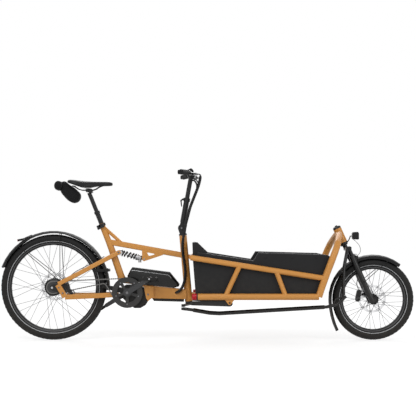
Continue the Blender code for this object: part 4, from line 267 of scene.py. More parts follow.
# %% Road dust, thick near the ground and broken up by noise
dust_group, source, target = node_group("road_dust", [("Top", 0.5), ("Amount", 0.3)], ["Mask"])
share = math_node(dust_group, "DIVIDE", own_place(dust_group)["Z"], source.outputs["Top"])
low = math_node(dust_group, "SUBTRACT", 1.0, share)
low = math_node(dust_group, "MAXIMUM", low, 0.0)
patches = math_node(dust_group, "POWER", noise_at(dust_group, 38.0, 6.0), 1.6)
mask = math_node(dust_group, "MULTIPLY", low, patches)
mask = math_node(dust_group, "MULTIPLY", mask, source.outputs["Amount"])
dust_group.links.new(mask, target.inputs["Mask"])

# %% A ring round an axle, with the radius and the angle round it
ring_group, source, target = node_group(
    "ring", [("Axle X", 0.0), ("Axle Z", 0.0), ("Inner", 0.1), ("Outer", 0.2)],
    ["Mask", "Radius", "Angle"],
)
place = own_place(ring_group)
along = math_node(ring_group, "SUBTRACT", place["X"], source.outputs["Axle X"])
above = math_node(ring_group, "SUBTRACT", place["Z"], source.outputs["Axle Z"])
squares = math_node(ring_group, "ADD", math_node(ring_group, "MULTIPLY", along, along),
                    math_node(ring_group, "MULTIPLY", above, above))
radius = math_node(ring_group, "SQRT", squares)
beyond = math_node(ring_group, "GREATER_THAN", radius, source.outputs["Inner"])
within = math_node(ring_group, "LESS_THAN", radius, source.outputs["Outer"])
ring_group.links.new(math_node(ring_group, "MULTIPLY", beyond, within), target.inputs["Mask"])
ring_group.links.new(radius, target.inputs["Radius"])
ring_group.links.new(math_node(ring_group, "ARCTAN2", above, along), target.inputs["Angle"])

# %% A plain weave: threads that pass over and under each other
weave_group, source, target = node_group("weave", [("Threads", 900.0)], ["Height"])
place = own_place(weave_group)
count = source.outputs["Threads"]
across = math_node(weave_group, "ADD", place["X"], place["Y"])
warp = math_node(weave_group, "SINE", math_node(weave_group, "MULTIPLY", across, count))
weft = math_node(weave_group, "SINE", math_node(weave_group, "MULTIPLY", place["Z"], count))
threads = math_node(weave_group, "MULTIPLY", warp, weft)
threads = math_node(weave_group, "MULTIPLY_ADD", threads, 0.5, 0.5)
weave_group.links.new(threads, target.inputs["Height"])
print("node groups:", [group.name for group in bpy.data.node_groups])

# %% [markdown]
# ## The general finish
# Every material starts from the same recipe: its colour drifts a little with the clouds, dust
# lies on the low parts, the grain makes the gloss uneven and gives the light something to catch.
# What is the same all over, such as the metal or the coat, is a number on the shader itself.

# %% One recipe for paint, plastic, rubber and metal
DUST_COLOUR = (0.20, 0.175, 0.14, 1)


def place_group(tree, group, **values):
    """A node group in a material; its values are given by the names of its sockets."""
    node = tree.nodes.new("ShaderNodeGroup")
    node.node_tree = group
    for label, value in values.items():
        node.inputs[label.replace("_", " ")].default_value = value
    return node


def finish(name, colour, roughness, metallic=0.0, coat=0.0, grain=300.0, bump=0.15, drift=0.25,
           dust=0.25, uneven=0.12, gloss=0.22):
    """Makes a material from the recipe and returns it with the sockets that a finish may change."""
    material = bpy.data.materials.new(name)
    material.use_nodes = True
    tree = material.node_tree
    shader = tree.nodes["Principled BSDF"]
    shader.inputs["Metallic"].default_value = metallic
    shader.inputs["Specular IOR Level"].default_value = 0.5 if metallic else gloss
    shader.inputs["Coat Weight"].default_value = coat
    shader.inputs["Coat Roughness"].default_value = 0.15
    grains = place_group(tree, grain_group, Scale=grain)
    dusty = place_group(tree, dust_group, Amount=dust)
    darker = tuple(c * (1 - drift) for c in colour) + (1,)
    base = mix_colour(tree, grains.outputs["Clouds"], (*colour, 1), darker)
    covered = mix_colour(tree, dusty.outputs["Mask"], base, DUST_COLOUR)
    tree.links.new(covered, shader.inputs["Base Color"])
    rough = math_node(tree, "MULTIPLY_ADD", grains.outputs["Fine"], uneven, roughness - uneven / 2)
    rough = math_node(tree, "ADD", rough, math_node(tree, "MULTIPLY", dusty.outputs["Mask"], 0.6))
    tree.links.new(rough, shader.inputs["Roughness"])
    bumps = tree.nodes.new("ShaderNodeBump")
    bumps.inputs["Strength"].default_value = bump
    bumps.inputs["Distance"].default_value = 0.0006
    tree.links.new(grains.outputs["Fine"], bumps.inputs["Height"])
    tree.links.new(bumps.outputs[0], shader.inputs["Normal"])
    return material, {"tree": tree, "shader": shader, "covered": covered, "bump": bumps}


def paint_over(parts, mask, colour):
    """Covers what a finish has so far with a colour, where the mask is 1."""
    parts["covered"] = mix_colour(parts["tree"], mask, parts["covered"], colour)
    parts["tree"].links.new(parts["covered"], parts["shader"].inputs["Base Color"])


ORANGE = (0.640, 0.285, 0.062)
BLACK = (0.0085, 0.0085, 0.0092)
orange_paint, _ = finish("orange_paint", ORANGE, 0.42, coat=0.08, grain=520, bump=0.05, drift=0.10,
                         dust=0.10, gloss=0.35)
black_coat, _ = finish("black_coat", BLACK, 0.34, grain=900, bump=0.10, gloss=0.32)
moulded_black, _ = finish("moulded_black", (0.0078, 0.0078, 0.0082), 0.46, grain=1500, bump=0.25)
grey_anodised, _ = finish("grey_anodised", (0.42, 0.42, 0.43), 0.30, metallic=0.95, grain=1400,
                          bump=0.08)
fork_black, _ = finish("fork_black", (0.0050, 0.0050, 0.0055), 0.26, grain=700, bump=0.04, gloss=0.34)
battery_black, _ = finish("battery_black", (0.0045, 0.0045, 0.0050), 0.24, grain=600, bump=0.04,
                          gloss=0.32)
dark_steel, _ = finish("dark_steel", (0.060, 0.060, 0.062), 0.36, metallic=0.9, grain=900, bump=0.08)

# %% Crank arms with a painted highlight, a little paler than the chain wheel beside them
ARM_START = 0.0675
crank_black, parts = finish("crank_black", (0.0085, 0.0085, 0.0090), 0.27, grain=700, bump=0.04,
                            gloss=0.5)
outwards = math_node(parts["tree"], "ABSOLUTE", own_place(parts["tree"])["Y"])
arm_highlight_mask = math_node(parts["tree"], "GREATER_THAN", outwards, ARM_START)
# The arms are painted a paler grey than the chain wheel: a painted highlight.
paint_over(parts, arm_highlight_mask, (0.030, 0.030, 0.032, 1))
print("finishes so far:", len(bpy.data.materials) - 1)

# %% [markdown]
# ## Finishes with a pattern of their own
# Brushed steel shows fine scratches that run round the turned parts. The panels of the box are a
# sheet with a pressed, leathery grain. Grips have small ribs. Fabric shows its weave, and the
# saddle's cover is finely creased. Each takes the recipe and presses one more pattern into it.

# %% Steel, panels, grips, fabric and leather
def press_in(parts, height, strength, distance):
    """Adds one more relief under the grain of a finish."""
    tree = parts["tree"]
    relief = tree.nodes.new("ShaderNodeBump")
    relief.inputs["Strength"].default_value = strength
    relief.inputs["Distance"].default_value = distance
    tree.links.new(height, relief.inputs["Height"])
    tree.links.new(relief.outputs[0], parts["bump"].inputs["Normal"])


steel, parts = finish("bright_steel", (0.56, 0.57, 0.58), 0.27, metallic=1.0, grain=700, bump=0.05,
                      drift=0.15)
press_in(parts, noise_at(parts["tree"], 240.0, 3.0, (1, 12, 1)), 0.12, 0.0003)

panel_sheet, parts = finish("panel_sheet", (0.0110, 0.0110, 0.0118), 0.55, grain=2200, bump=0.30,
                            drift=0.3)
press_in(parts, cells_at(parts["tree"], 420.0), 0.35, 0.0005)

grip_rubber, parts = finish("grip_rubber", (0.0085, 0.0085, 0.0090), 0.72, grain=1800, bump=0.2)
rib_turns = math_node(parts["tree"], "MULTIPLY", own_place(parts["tree"])["Y"], 1600.0)
press_in(parts, math_node(parts["tree"], "SINE", rib_turns), 0.5, 0.0005)

bag_cloth, parts = finish("bag_cloth", (0.0060, 0.0060, 0.0068), 0.86, grain=1200, bump=0.25, drift=0.35)
parts["shader"].inputs["Sheen Weight"].default_value = 0.10
parts["shader"].inputs["Sheen Roughness"].default_value = 0.5
press_in(parts, place_group(parts["tree"], weave_group, Threads=2600).outputs["Height"], 0.55, 0.0004)

saddle_skin, parts = finish("saddle_skin", (0.0095, 0.0095, 0.0100), 0.40, grain=900, bump=0.12, dust=0)
press_in(parts, cells_at(parts["tree"], 900.0), 0.25, 0.0003)

webbing, parts = finish("webbing", (0.010, 0.010, 0.011), 0.8, grain=1500, bump=0.2)
press_in(parts, place_group(parts["tree"], weave_group, Threads=4200).outputs["Height"], 0.6, 0.0003)
print("finishes now:", len(bpy.data.materials) - 1)

# %% [markdown]
# ## Wheels
# Rim, spokes and hub are one solid. On the real wheel the rim and the hub are black and the spokes
# are grey steel; a light line along the rim's edge is a painted highlight. The radius from the axle
# is enough to tell them apart, so the ring group picks the colour. The brake discs are bright steel
# with rows of holes. Cutting each hole would take many faces, so two waves that cross make them in the
# disc's alpha.

# %% Rims, spokes and hubs
REAR_RADIUS, FRONT_RADIUS = 0.3345, 0.258
REAR_RIM, FRONT_RIM = 0.2795, 0.203
REAR_AXLE = Vector((-0.974, 0, REAR_RADIUS))
FRONT_AXLE = Vector((1.0505, 0, FRONT_RADIUS))
REAR_HUB, FRONT_HUB = 0.0565, 0.0345
RIM_DEPTH = 0.0127


def ring_at(parts, axle, inner, outer):
    """The outputs of the ring group, placed round an axle between two radii."""
    return place_group(parts["tree"], ring_group, Axle_X=axle.x, Axle_Z=axle.z, Inner=inner,
                       Outer=outer).outputs


def wheel_finish(name, axle, hub_radius, rim_radius):
    material, parts = finish(name, (0.0095, 0.0095, 0.0100), 0.36, bump=0.05, dust=0.1)
    spokes = ring_at(parts, axle, hub_radius, rim_radius - RIM_DEPTH)["Mask"]
    # A light grey line on the rim's outer edge: a painted highlight.
    rim_edge_highlight = ring_at(parts, axle, rim_radius - 0.0035, rim_radius + 0.0015)["Mask"]
    paint_over(parts, rim_edge_highlight, (0.075, 0.075, 0.077, 1))
    paint_over(parts, spokes, (0.13, 0.13, 0.135, 1))
    shine = math_node(parts["tree"], "MULTIPLY", spokes, 0.45)
    parts["tree"].links.new(shine, parts["shader"].inputs["Metallic"])
    return material


rear_wheel_metal = wheel_finish("rear_wheel_metal", REAR_AXLE, REAR_HUB, REAR_RIM)
front_wheel_metal = wheel_finish("front_wheel_metal", FRONT_AXLE, FRONT_HUB, FRONT_RIM)
print("wheels", 2 * REAR_RADIUS, "and", 2 * FRONT_RADIUS, "m across")

# %% Brake discs with rows of holes
HOLE_BAND = (0.0745, 0.0875)


def disc_finish(name, axle):
    material, parts = finish(name, (0.80, 0.80, 0.81), 0.24, metallic=1.0, grain=700, bump=0.04,
                             drift=0.08, dust=0.05)
    tree = parts["tree"]
    band = ring_at(parts, axle, *HOLE_BAND)
    twist = math_node(tree, "MULTIPLY_ADD", band["Radius"], 900.0,
                      math_node(tree, "MULTIPLY", band["Angle"], 36.0))
    rows = math_node(tree, "SINE", math_node(tree, "MULTIPLY", band["Radius"], 1450.0))
    peaks = math_node(tree, "MULTIPLY", math_node(tree, "SINE", twist), rows)
    holes = math_node(tree, "MULTIPLY", math_node(tree, "GREATER_THAN", peaks, 0.60), band["Mask"])
    tree.links.new(math_node(tree, "SUBTRACT", 1.0, holes), parts["shader"].inputs["Alpha"])
    return material


rear_disc_steel = disc_finish("rear_disc_steel", REAR_AXLE)
front_disc_steel = disc_finish("front_disc_steel", FRONT_AXLE)
print("finishes now:", len(bpy.data.materials) - 1)

# %% [markdown]
# ## Tyres
# The solid tyre is a ring of 36 flats. The real one is round, with a rounded tread of small
# blocks, and a thin reflecting ring on each sidewall, which stands out in the photograph. A new
# tyre is turned from a finer section, its tread blocks raised by pushing every other group of
# points out. It replaces the solid and never goes outside its radius and width.

# %% Helpers that make a piece from points and faces
def add_piece(name, points, faces, material, body, smooth=True):
    """A piece that rides on a body of the bike; without a body it is left unattached."""
    mesh = bpy.data.meshes.new(name)
    mesh.from_pydata([tuple(p) for p in points], [], faces)
    shape = bmesh.new()
    shape.from_mesh(mesh)
    bmesh.ops.recalc_face_normals(shape, faces=shape.faces)
    shape.to_mesh(mesh)
    shape.free()
    mesh.materials.append(material)
    piece = bpy.data.objects.new(name, mesh)
    bpy.context.scene.collection.objects.link(piece)
    if smooth:
        mesh.shade_smooth()
        mesh.set_sharp_from_angle(angle=math.radians(40))
    if body:
        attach(piece, body)
    return piece


def rings_to_faces(rings, size, closed_path, start=0):
    """Faces between rings of points that are numbered one ring after the other."""
    faces = []
    count = rings if closed_path else rings - 1
    for i in range(count):
        for k in range(size):
            a, b = start + i * size + k, start + i * size + (k + 1) % size
            c, d = start + (i + 1) % rings * size + (k + 1) % size, start + (i + 1) % rings * size + k
            faces.append((a, b, c, d))
    if not closed_path:
        faces.append(tuple(start + k for k in range(size)))
        faces.append(tuple(start + (rings - 1) * size + k for k in range(size)))
    return faces


def add_loft(name, points, size, material, body, closed_path=False, smooth=True):
    """A piece whose skin runs through rings of points, with this many points in each ring."""
    faces = rings_to_faces(len(points) // size, size, closed_path)
    return add_piece(name, points, faces, material, body, smooth)


def round_angles(count):
    """Angles spread evenly over a full turn."""
    return [2 * math.pi * k / count for k in range(count)]


def on_circle(centre, radius, angle, y=0.0):
    """A point on a circle in the side view, y beside its centre."""
    return centre + Vector((radius * math.cos(angle), y, radius * math.sin(angle)))


# %% Tyre rubber with its reflecting ring
TYRE_HALF = 0.0275
TREAD_DEPTH = 0.0078
BLOCK_RISE, GROOVE_DEPTH = 0.0009, 0.0012
RING_WIDTH = 0.0036


def tyre_finish(name, axle, ring_radius, tread_radius):
    material, parts = finish(name, (0.0100, 0.0100, 0.0103), 0.66, grain=1600, bump=0.3, dust=0.22,
                             drift=0.3)
    tread = ring_at(parts, axle, tread_radius, 1.0)
    reflecting = ring_at(parts, axle, ring_radius, ring_radius + RING_WIDTH)
    paint_over(parts, tread["Mask"], (0.0135, 0.0132, 0.0130, 1))
    paint_over(parts, reflecting["Mask"], (0.46, 0.47, 0.48, 1))
    ridge_turns = math_node(parts["tree"], "MULTIPLY", tread["Radius"], 2400.0)
    press_in(parts, math_node(parts["tree"], "SINE", ridge_turns), 0.12, 0.0004)
    return material


def make_tyre(name, node, body, axle, radius, rim_radius, ring_radius, blocks):
    half = TYRE_HALF
    seat = rim_radius + 0.0005
    bead = 0.0118
    middle = radius - half
    right = [(seat, bead), (rim_radius + 0.0065, bead + 0.0004)]
    for degrees in (-38, -22, -6, 10, 26, 40, 52):
        angle = math.radians(degrees)
        right.append((middle + half * 0.985 * math.sin(angle), half * math.cos(angle) * 0.995))
    right += [(radius - 0.0056, 0.0152), (radius - 0.0032, 0.0105), (radius - 0.0014, 0.0060),
              (radius - 0.0010, 0.0018)]
    section = right + [(r, -y) for r, y in right[::-1]]
    steps = blocks * 4
    points = []
    for i, angle in enumerate(round_angles(steps)):
        for k, (r, y) in enumerate(section):
            shift = 2 if k >= len(right) else 0
            block = BLOCK_RISE if (i + shift) % 4 < 2 else -GROOVE_DEPTH
            on_tread = r > radius - TREAD_DEPTH
            reach = min(r + (block if on_tread else 0), radius - 0.0001)
            points.append(on_circle(axle, reach, angle, y))
    material = tyre_finish(name + "_rubber", axle, ring_radius, radius - 0.006)
    tyre = add_loft(name, points, len(section), material, body, closed_path=True)
    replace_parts(tyre, node)
    print(name, len(points), "points")


make_tyre("rear_tyre_cover", "rear_tyre", "rear_wheel", REAR_AXLE, REAR_RADIUS, REAR_RIM,
          ring_radius=0.2890, blocks=72)
make_tyre("front_tyre_cover", "front_tyre", "front_wheel", FRONT_AXLE, FRONT_RADIUS, FRONT_RIM,
          ring_radius=0.2135, blocks=56)

# %% [markdown]
# ## Chain
# A roller chain is two kinds of link in turn, narrow inside and wide outside, on rollers one
# pitch apart. The solid chain is a plain band. Here the same route round the sprockets is divided
# into pitches, and each pitch gets two plates with round ends and each joint a roller. The links
# are three pieces: most ride on the swingarm, and the two lengths beside the tensioner ride on none.

# %% Route of the chain
PITCH = 0.0127
CHAIN_Y = -0.056
CRANK = Vector((-0.504, 0, 0.303))
IDLER = Vector((-0.6545, 0, 0.341))
TENSIONER = Vector((-0.8545, 0, 0.2995))


def pitch_radius(teeth):
    return PITCH / (2 * math.sin(math.pi / teeth))


def chain_points(circles):
    """Points one pitch apart round a belt on circles (centre, radius, way), way +1 clockwise."""
    normals = []
    for (c1, r1, s1), (c2, r2, s2) in zip(circles, circles[1:] + circles[:1]):
        gap = Vector((c2.x - c1.x, c2.z - c1.z))
        normals.append(math.atan2(gap.y, gap.x) + math.acos((s1 * r1 - s2 * r2) / gap.length))
    route = []
    for i, (centre, radius, way) in enumerate(circles):
        start, end = normals[i - 1], normals[i]
        turn = (start - end) % (2 * math.pi) if way > 0 else -((end - start) % (2 * math.pi))
        for k in range(49):
            angle = start - turn * k / 48
            route.append(Vector((centre.x + way * radius * math.cos(angle), 0,
                                 centre.z + way * radius * math.sin(angle))))
    lengths = [0.0]
    for a, b in zip(route, route[1:] + route[:1]):
        lengths.append(lengths[-1] + (b - a).length)
    links = 2 * round(lengths[-1] / PITCH / 2)
    points = []
    i = 0
    for k in range(links):
        wanted = lengths[-1] * k / links
        while lengths[i + 1] < wanted:
            i += 1
        share = (wanted - lengths[i]) / max(lengths[i + 1] - lengths[i], 1e-9)
        points.append(route[i].lerp(route[(i + 1) % len(route)], share))
    return points


joints = chain_points([(REAR_AXLE, pitch_radius(19), 1), (CRANK, pitch_radius(44), 1),
                       (IDLER, pitch_radius(9), -1), (TENSIONER, pitch_radius(9), -1)])
print("chain of", len(joints), "links")

# %% Links and rollers
PLATE_THICKNESS, PLATE_HALF = 0.0008, 0.0040
ROLLER_RADIUS, ROLLER_HALF = 0.0021, 0.0033


def add_plate(points, faces, a, b, y):
    """A link plate: round at both joints and waisted between them."""
    along = (b - a).normalized()
    up = Vector((-along.z, 0, along.x))
    outline = []
    for centre, start in ((b, -90), (a, 90)):
        for k in range(5):
            angle = math.radians(start + 45 * k)
            outline.append(centre + along * PLATE_HALF * math.cos(angle)
                           + up * PLATE_HALF * math.sin(angle))
        outline.append((a + b) / 2 + up * PLATE_HALF * 0.62 * (1 if start < 0 else -1))
    first = len(points)
    for offset in (y - PLATE_THICKNESS / 2, y + PLATE_THICKNESS / 2):
        points.extend(p + Vector((0, offset, 0)) for p in outline)
    faces.extend(rings_to_faces(2, len(outline), False, first))


def add_links(name, which_joints, body=None):
    """The links that start at these joints, as one piece."""
    points, faces = [], []
    for k in which_joints:
        joint, following = joints[k], joints[(k + 1) % len(joints)]
        spread = 0.0030 if k % 2 else 0.0021
        for side_of_roller in (-1, 1):
            add_plate(points, faces, joint, following, CHAIN_Y + side_of_roller * spread)
        first = len(points)
        for y in (CHAIN_Y - ROLLER_HALF, CHAIN_Y + ROLLER_HALF):
            points += [on_circle(joint, ROLLER_RADIUS, angle, y) for angle in round_angles(8)]
        faces.extend(rings_to_faces(2, 8, False, first))
    return add_piece(name, points, faces, chain_steel, body, False)


chain_steel, _ = finish("chain_steel", (0.17, 0.165, 0.16), 0.38, metallic=1.0, grain=900, bump=0.1)
idler_top = IDLER + Vector((0, 0, 0.0186))
nearest = min(range(len(joints)), key=lambda k: (joints[k] - idler_top).length)
FEED_END = -0.935
below = range(nearest + 3, len(joints))
returning = [k for k in below if joints[k].x > TENSIONER.x]
feeding = [k for k in below if FEED_END < joints[k].x <= TENSIONER.x]
resting = [k for k in range(len(joints)) if k not in returning and k not in feeding]
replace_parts(add_links("roller_chain", resting, "swingarm"), "chain")
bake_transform(add_links("chain_return", returning))
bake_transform(add_links("chain_feed", feeding))
print("links:", len(resting), len(returning), len(feeding))

# %% [markdown]
# ## Saddle
# A saddle is a moulded shell under foam and a thin cover. Its outline runs from a narrow nose to
# two wide wings, the top has a shallow channel along the middle, and the cover is drawn down and
# round under the edge, where a seam shows. The sections below stand where the solid's do, or
# nearly so. Their tops are up to 5 mm higher, the skirt is shallower at the back, and a
# subdivision surface smooths them.

# %% Saddle cover
HANDS = ((-1, "right"), (1, "left"))
RAIL_LINE = Vector((-0.750, 0, 0.949))
SADDLE_STATIONS = [
    (-0.1345, 0.052, 0.0590, 0.0480), (-0.128, 0.070, 0.0655, 0.0440), (-0.112, 0.083, 0.0670, 0.0375),
    (-0.085, 0.090, 0.0640, 0.0285), (-0.050, 0.086, 0.0590, 0.0165), (-0.015, 0.070, 0.0560, 0.0125),
    (0.020, 0.050, 0.0548, 0.0180), (0.050, 0.0375, 0.0542, 0.0225), (0.080, 0.0300, 0.0540, 0.0240),
    (0.110, 0.0260, 0.0537, 0.0250), (0.132, 0.0235, 0.0527, 0.0260), (0.1445, 0.0190, 0.0498, 0.0280),
    (0.1495, 0.0110, 0.0440, 0.0315),
]


def soften(piece):
    """Smooths a piece with one level of subdivision."""
    smooth = piece.modifiers.new("smooth", "SUBSURF")
    smooth.levels = smooth.render_levels = 1


def make_saddle():
    points = []
    arc_steps = 18
    for x, half, top, low in SADDLE_STATIONS:
        pan = low + 0.0030 + (0.0292 - low) * 0.5 * (low < 0.0292)
        inner = max(half - 0.012, half * 0.55)
        middle = low + (top - low) * 0.25
        ring = [(-inner, pan), (-half * 0.94, low + 0.0016), (-half * 0.985, low + 0.0035)]
        for k in range(1, arc_steps):
            angle = math.pi * k / arc_steps
            c, s = math.cos(angle), math.sin(angle)
            y = -half * math.copysign(abs(c) ** 0.78, c)
            channel = 0.0032 * math.exp(-(y / 0.0095) ** 2) * (0.35 + 0.65 * (x < 0.09))
            ring.append((y, middle + (top - middle) * s**0.60 - channel))
        ring += [(half * 0.985, low + 0.0035), (half * 0.94, low + 0.0016), (inner, pan)]
        points += [RAIL_LINE + Vector((x, y, z)) for y, z in ring]
    saddle = add_loft("saddle_cover", points, len(ring), saddle_skin, "seat_shaft")
    soften(saddle)
    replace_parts(saddle, "saddle")
    print("saddle cover:", len(points), "points")


make_saddle()

# %% Seam piping along the lower edge
def tube(name, path, radius, material, body, sides=8):
    """A round tube along points, with a frame that turns as little as it can."""
    path = [Vector(p) for p in path]
    points = []
    across = Vector((0, 1, 0)) if abs((path[1] - path[0]).normalized().y) < 0.9 else Vector((0, 0, 1))
    for i, point in enumerate(path):
        before = (point - path[i - 1]).normalized() if i else (path[1] - point).normalized()
        after = (path[i + 1] - point).normalized() if i < len(path) - 1 else before
        tangent = (before + after).normalized()
        across = (across - tangent * across.dot(tangent)).normalized()
        up = across.cross(tangent)
        for angle in round_angles(sides):
            points.append(point + across * radius * math.cos(angle) + up * radius * math.sin(angle))
    return add_loft(name, points, sides, material, body)


def between(p0, p1, p2, p3, t):
    """A point from p1 (t = 0) to p2 (t = 1) on a smooth curve through four points."""
    return 0.5 * (2 * p1 + (p2 - p0) * t + (2 * p0 - 5 * p1 + 4 * p2 - p3) * t**2
                  + (3 * p1 - p0 - 3 * p2 + p3) * t**3)


def smooth_path(points, steps=6):
    """A smooth curve through points."""
    points = [Vector(p) for p in points]
    fine = []
    ends = [points[0] * 2 - points[1]] + points + [points[-1] * 2 - points[-2]]
    for p0, p1, p2, p3 in zip(ends, ends[1:], ends[2:], ends[3:]):
        fine += [between(p0, p1, p2, p3, k / steps) for k in range(steps)]
    fine.append(points[-1].copy())
    return fine


for which, hand in HANDS:
    seam = [RAIL_LINE + Vector((x, which * (half * 0.962), low + 0.0026))
            for x, half, top, low in SADDLE_STATIONS[1:-1]]
    tube("saddle_seam_" + hand, smooth_path(seam, 3), 0.0011, saddle_skin, "seat_shaft",
         6)
print("each seam:", len(seam), "stations")

# %% [markdown]
# ## Bag under the saddle
# The bag hangs from the saddle rails: a soft pouch of woven cloth that is full below and drawn in
# towards its straps, with a rolled end at the back. It is lofted from one side to the other, each
# section smaller and rounder than the middle one, and noise that is stretched downwards presses
# folds into its skin. A cloth simulation isn't needed for so small and full a bag.

# %% Pouch
POUCH_OUTLINE = [(-0.066, -0.010), (-0.054, -0.030), (-0.0555, -0.056), (-0.072, -0.076),
                 (-0.096, -0.082), (-0.124, -0.071), (-0.152, -0.047), (-0.175, -0.019),
                 (-0.184, 0.010), (-0.183, 0.038), (-0.168, 0.055), (-0.148, 0.0545),
                 (-0.124, 0.0345), (-0.092, 0.0130)]
POUCH_CENTRE = (-0.108, -0.020)
POUCH_HALF = 0.051


def make_pouch():
    loop = [Vector((x, 0, z)) for x, z in POUCH_OUTLINE]
    fine = []
    count = len(loop)
    for i in range(count):
        around = [loop[(i + j - 1) % count] for j in range(4)]
        fine += [between(*around, k / 4) for k in range(4)]
    centre = Vector((POUCH_CENTRE[0], 0, POUCH_CENTRE[1]))
    points = []
    stations = 15
    for i in range(stations):
        side = -1 + 2 * i / (stations - 1)
        size = (1 - abs(side) ** 3.2) ** 0.42 if abs(side) < 1 else 0.30
        size = max(size, 0.30)
        for p in fine:
            q = centre + (p - centre) * (0.22 + 0.78 * size)
            low = max(0.0, -(q.z + 0.020)) / 0.06
            q.y = POUCH_HALF * side * (0.90 + 0.10 * low)
            crease = noise.noise(Vector((q.x * 38, q.y * 30, q.z * 16))) * 0.0022
            q += (q - centre).normalized() * crease
            points.append(RAIL_LINE + q)
    pouch = add_loft("saddle_pouch", points, len(fine), bag_cloth, "seat_shaft")
    soften(pouch)
    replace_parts(pouch, "saddle_bag")
    print("pouch:", len(points), "points")


make_pouch()

# %% Rolled end
ROLL_CENTRE = RAIL_LINE + Vector((-0.1915, 0, 0.0275))
ROLL_HALF = (0.0255, 0.0300)


def make_roll():
    points = []
    stations, around = 21, 28
    for i in range(stations):
        side = -math.cos(math.pi * i / (stations - 1))
        end = max(0.0, abs(side) - 0.70) / 0.30
        for k, angle in enumerate(round_angles(around)):
            spiral = 1 - 0.12 * (k / around)
            size = spiral * math.sqrt(1 - 0.86 * end**2.4)
            size += noise.noise(Vector((side * 5, math.cos(angle) * 2, math.sin(angle) * 2))) * 0.07
            points.append(ROLL_CENTRE + Vector((ROLL_HALF[0] * size * math.cos(angle), 0.064 * side,
                                                ROLL_HALF[1] * size * math.sin(angle))))
    roll = add_loft("bag_roll", points, around, bag_cloth, "seat_shaft")
    soften(roll)
    print("roll:", len(points), "points")


make_roll()

# %% Straps round the roll
def strap_round(name, y, width, outline, thickness):
    """A flat strap that follows an outline in the side view, as a closed band."""
    count = len(outline)
    points = []
    for i, p in enumerate(outline):
        along = (outline[(i + 1) % count] - outline[i - 1]).normalized()
        out = Vector((along.z, 0, -along.x))
        for offset, rise in ((-width, 0), (width, 0), (width, thickness), (-width, thickness)):
            points.append(p + out * rise + Vector((0, y + offset, 0)))
    add_loft(name, points, 4, webbing, "seat_shaft", closed_path=True, smooth=False)


strap_half = [1.015 * half for half in ROLL_HALF]
loop = [ROLL_CENTRE + Vector((strap_half[0] * math.cos(-angle), 0, strap_half[1] * math.sin(-angle)))
        for angle in round_angles(28)]
for which, hand in HANDS:
    strap_round("roll_strap_" + hand, which * 0.034, 0.009, loop, 0.0012)
print("each strap:", len(loop), "points round the roll")

# %% [markdown]
# ## Bolts
# Bolts tell the eye how big a piece is and how it is held. One helper turns a bolt head with a
# recess, and a list puts them where such a bike has them: motor lugs, dropouts, discs, hinge,
# panels. Each rides on the body that it holds.

# %% Bolt heads
bolt_steel, _ = finish("bolt_steel", (0.20, 0.20, 0.21), 0.30, metallic=1.0, grain=1200, bump=0.05)


def turned(profile, centre, axis, steps):
    """Points and faces of a turned shape from (radius, along) pairs, closed at both ends."""
    axis = axis.normalized()
    across = Vector((0, 0, 1)) if abs(axis.z) < 0.9 else Vector((1, 0, 0))
    across = (across - axis * across.dot(axis)).normalized()
    other = axis.cross(across)
    points = []
    for radius, along in profile:
        for angle in round_angles(steps):
            outwards = across * math.cos(angle) + other * math.sin(angle)
            points.append(centre + axis * along + outwards * radius)
    return points, rings_to_faces(len(profile), steps, False)


def add_bolts(name, body, places, radius, material=None):
    """Bolt heads with a socket, each given as (point on the surface, direction out of it)."""
    points, faces = [], []
    for centre, axis in places:
        head = [(radius, 0.0001), (radius, radius * 0.35), (radius * 0.82, radius * 0.5),
                (radius * 0.5, radius * 0.5), (radius * 0.45, radius * 0.2)]
        more, their_faces = turned(head, Vector(centre), Vector(axis), 12)
        faces += [tuple(i + len(points) for i in face) for face in their_faces]
        points += more
    add_piece(name, points, faces, material or bolt_steel, body)
    print(name + ":", len(places))


RIGHT_OUT, LEFT_OUT = Vector((0, -1, 0)), Vector((0, 1, 0))
sides = ((-1, RIGHT_OUT), (1, LEFT_OUT))
add_bolts("motor_bolts", "frame", [((-0.374, w * 0.0505, 0.290), out) for w, out in sides], 0.0060)
add_bolts("dropout_bolts", "swingarm",
          [(REAR_AXLE + Vector((x, w * 0.1076, z)), out) for x, z in ((0.046, 0.0025), (0.0687, -0.0323))
           for w, out in sides], 0.0048)
add_bolts("hinge_bolts", "stem", [((-0.1625, w * 0.0262, 0.7093), out) for w, out in sides], 0.0062)
add_bolts("pivot_bolts", "swingarm", [((-0.583, w * 0.0476, 0.287), out) for w, out in sides], 0.0085)
add_bolts("shock_bolts", "swingarm", [((-0.561, w * 0.0472, 0.555), out) for w, out in sides], 0.0060)
add_bolts("crank_bolts", "crank", [((-0.504, w * 0.0837, 0.303), out) for w, out in sides], 0.0085)
SPIDER_RADIUS = 0.0735
ring_bolts = [(on_circle(CRANK, SPIDER_RADIUS, angle + 0.3 + math.pi / 5, -0.0656), RIGHT_OUT)
              for angle in round_angles(5)]
add_bolts("chain_wheel_bolts", "crank", ring_bolts, 0.0045)
for name, body, axle, y in (("rear_disc_bolts", "rear_wheel", REAR_AXLE, 0.0606),
                            ("front_disc_bolts", "front_wheel", FRONT_AXLE, 0.0386)):
    add_bolts(name, body, [(on_circle(axle, 0.022, angle, y), LEFT_OUT) for angle in round_angles(6)],
              0.0032)

# %% Ends of the pedal axle and the rear axle
CRANK_LENGTH = 0.170
CRANK_ANGLE = math.radians(32)
pedal_end = on_circle(CRANK, CRANK_LENGTH, CRANK_ANGLE, -0.1850)
add_bolts("pedal_axle_end", "pedal_right", [(pedal_end, RIGHT_OUT)], 0.0052, steel)
axle_end = Vector((REAR_AXLE.x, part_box("rear_axle")[0][1], REAR_AXLE.z))
add_bolts("rear_axle_nut", "swingarm", [(axle_end, RIGHT_OUT)], 0.0070, steel)
print("rear axle ends at y", round(axle_end.y, 4))

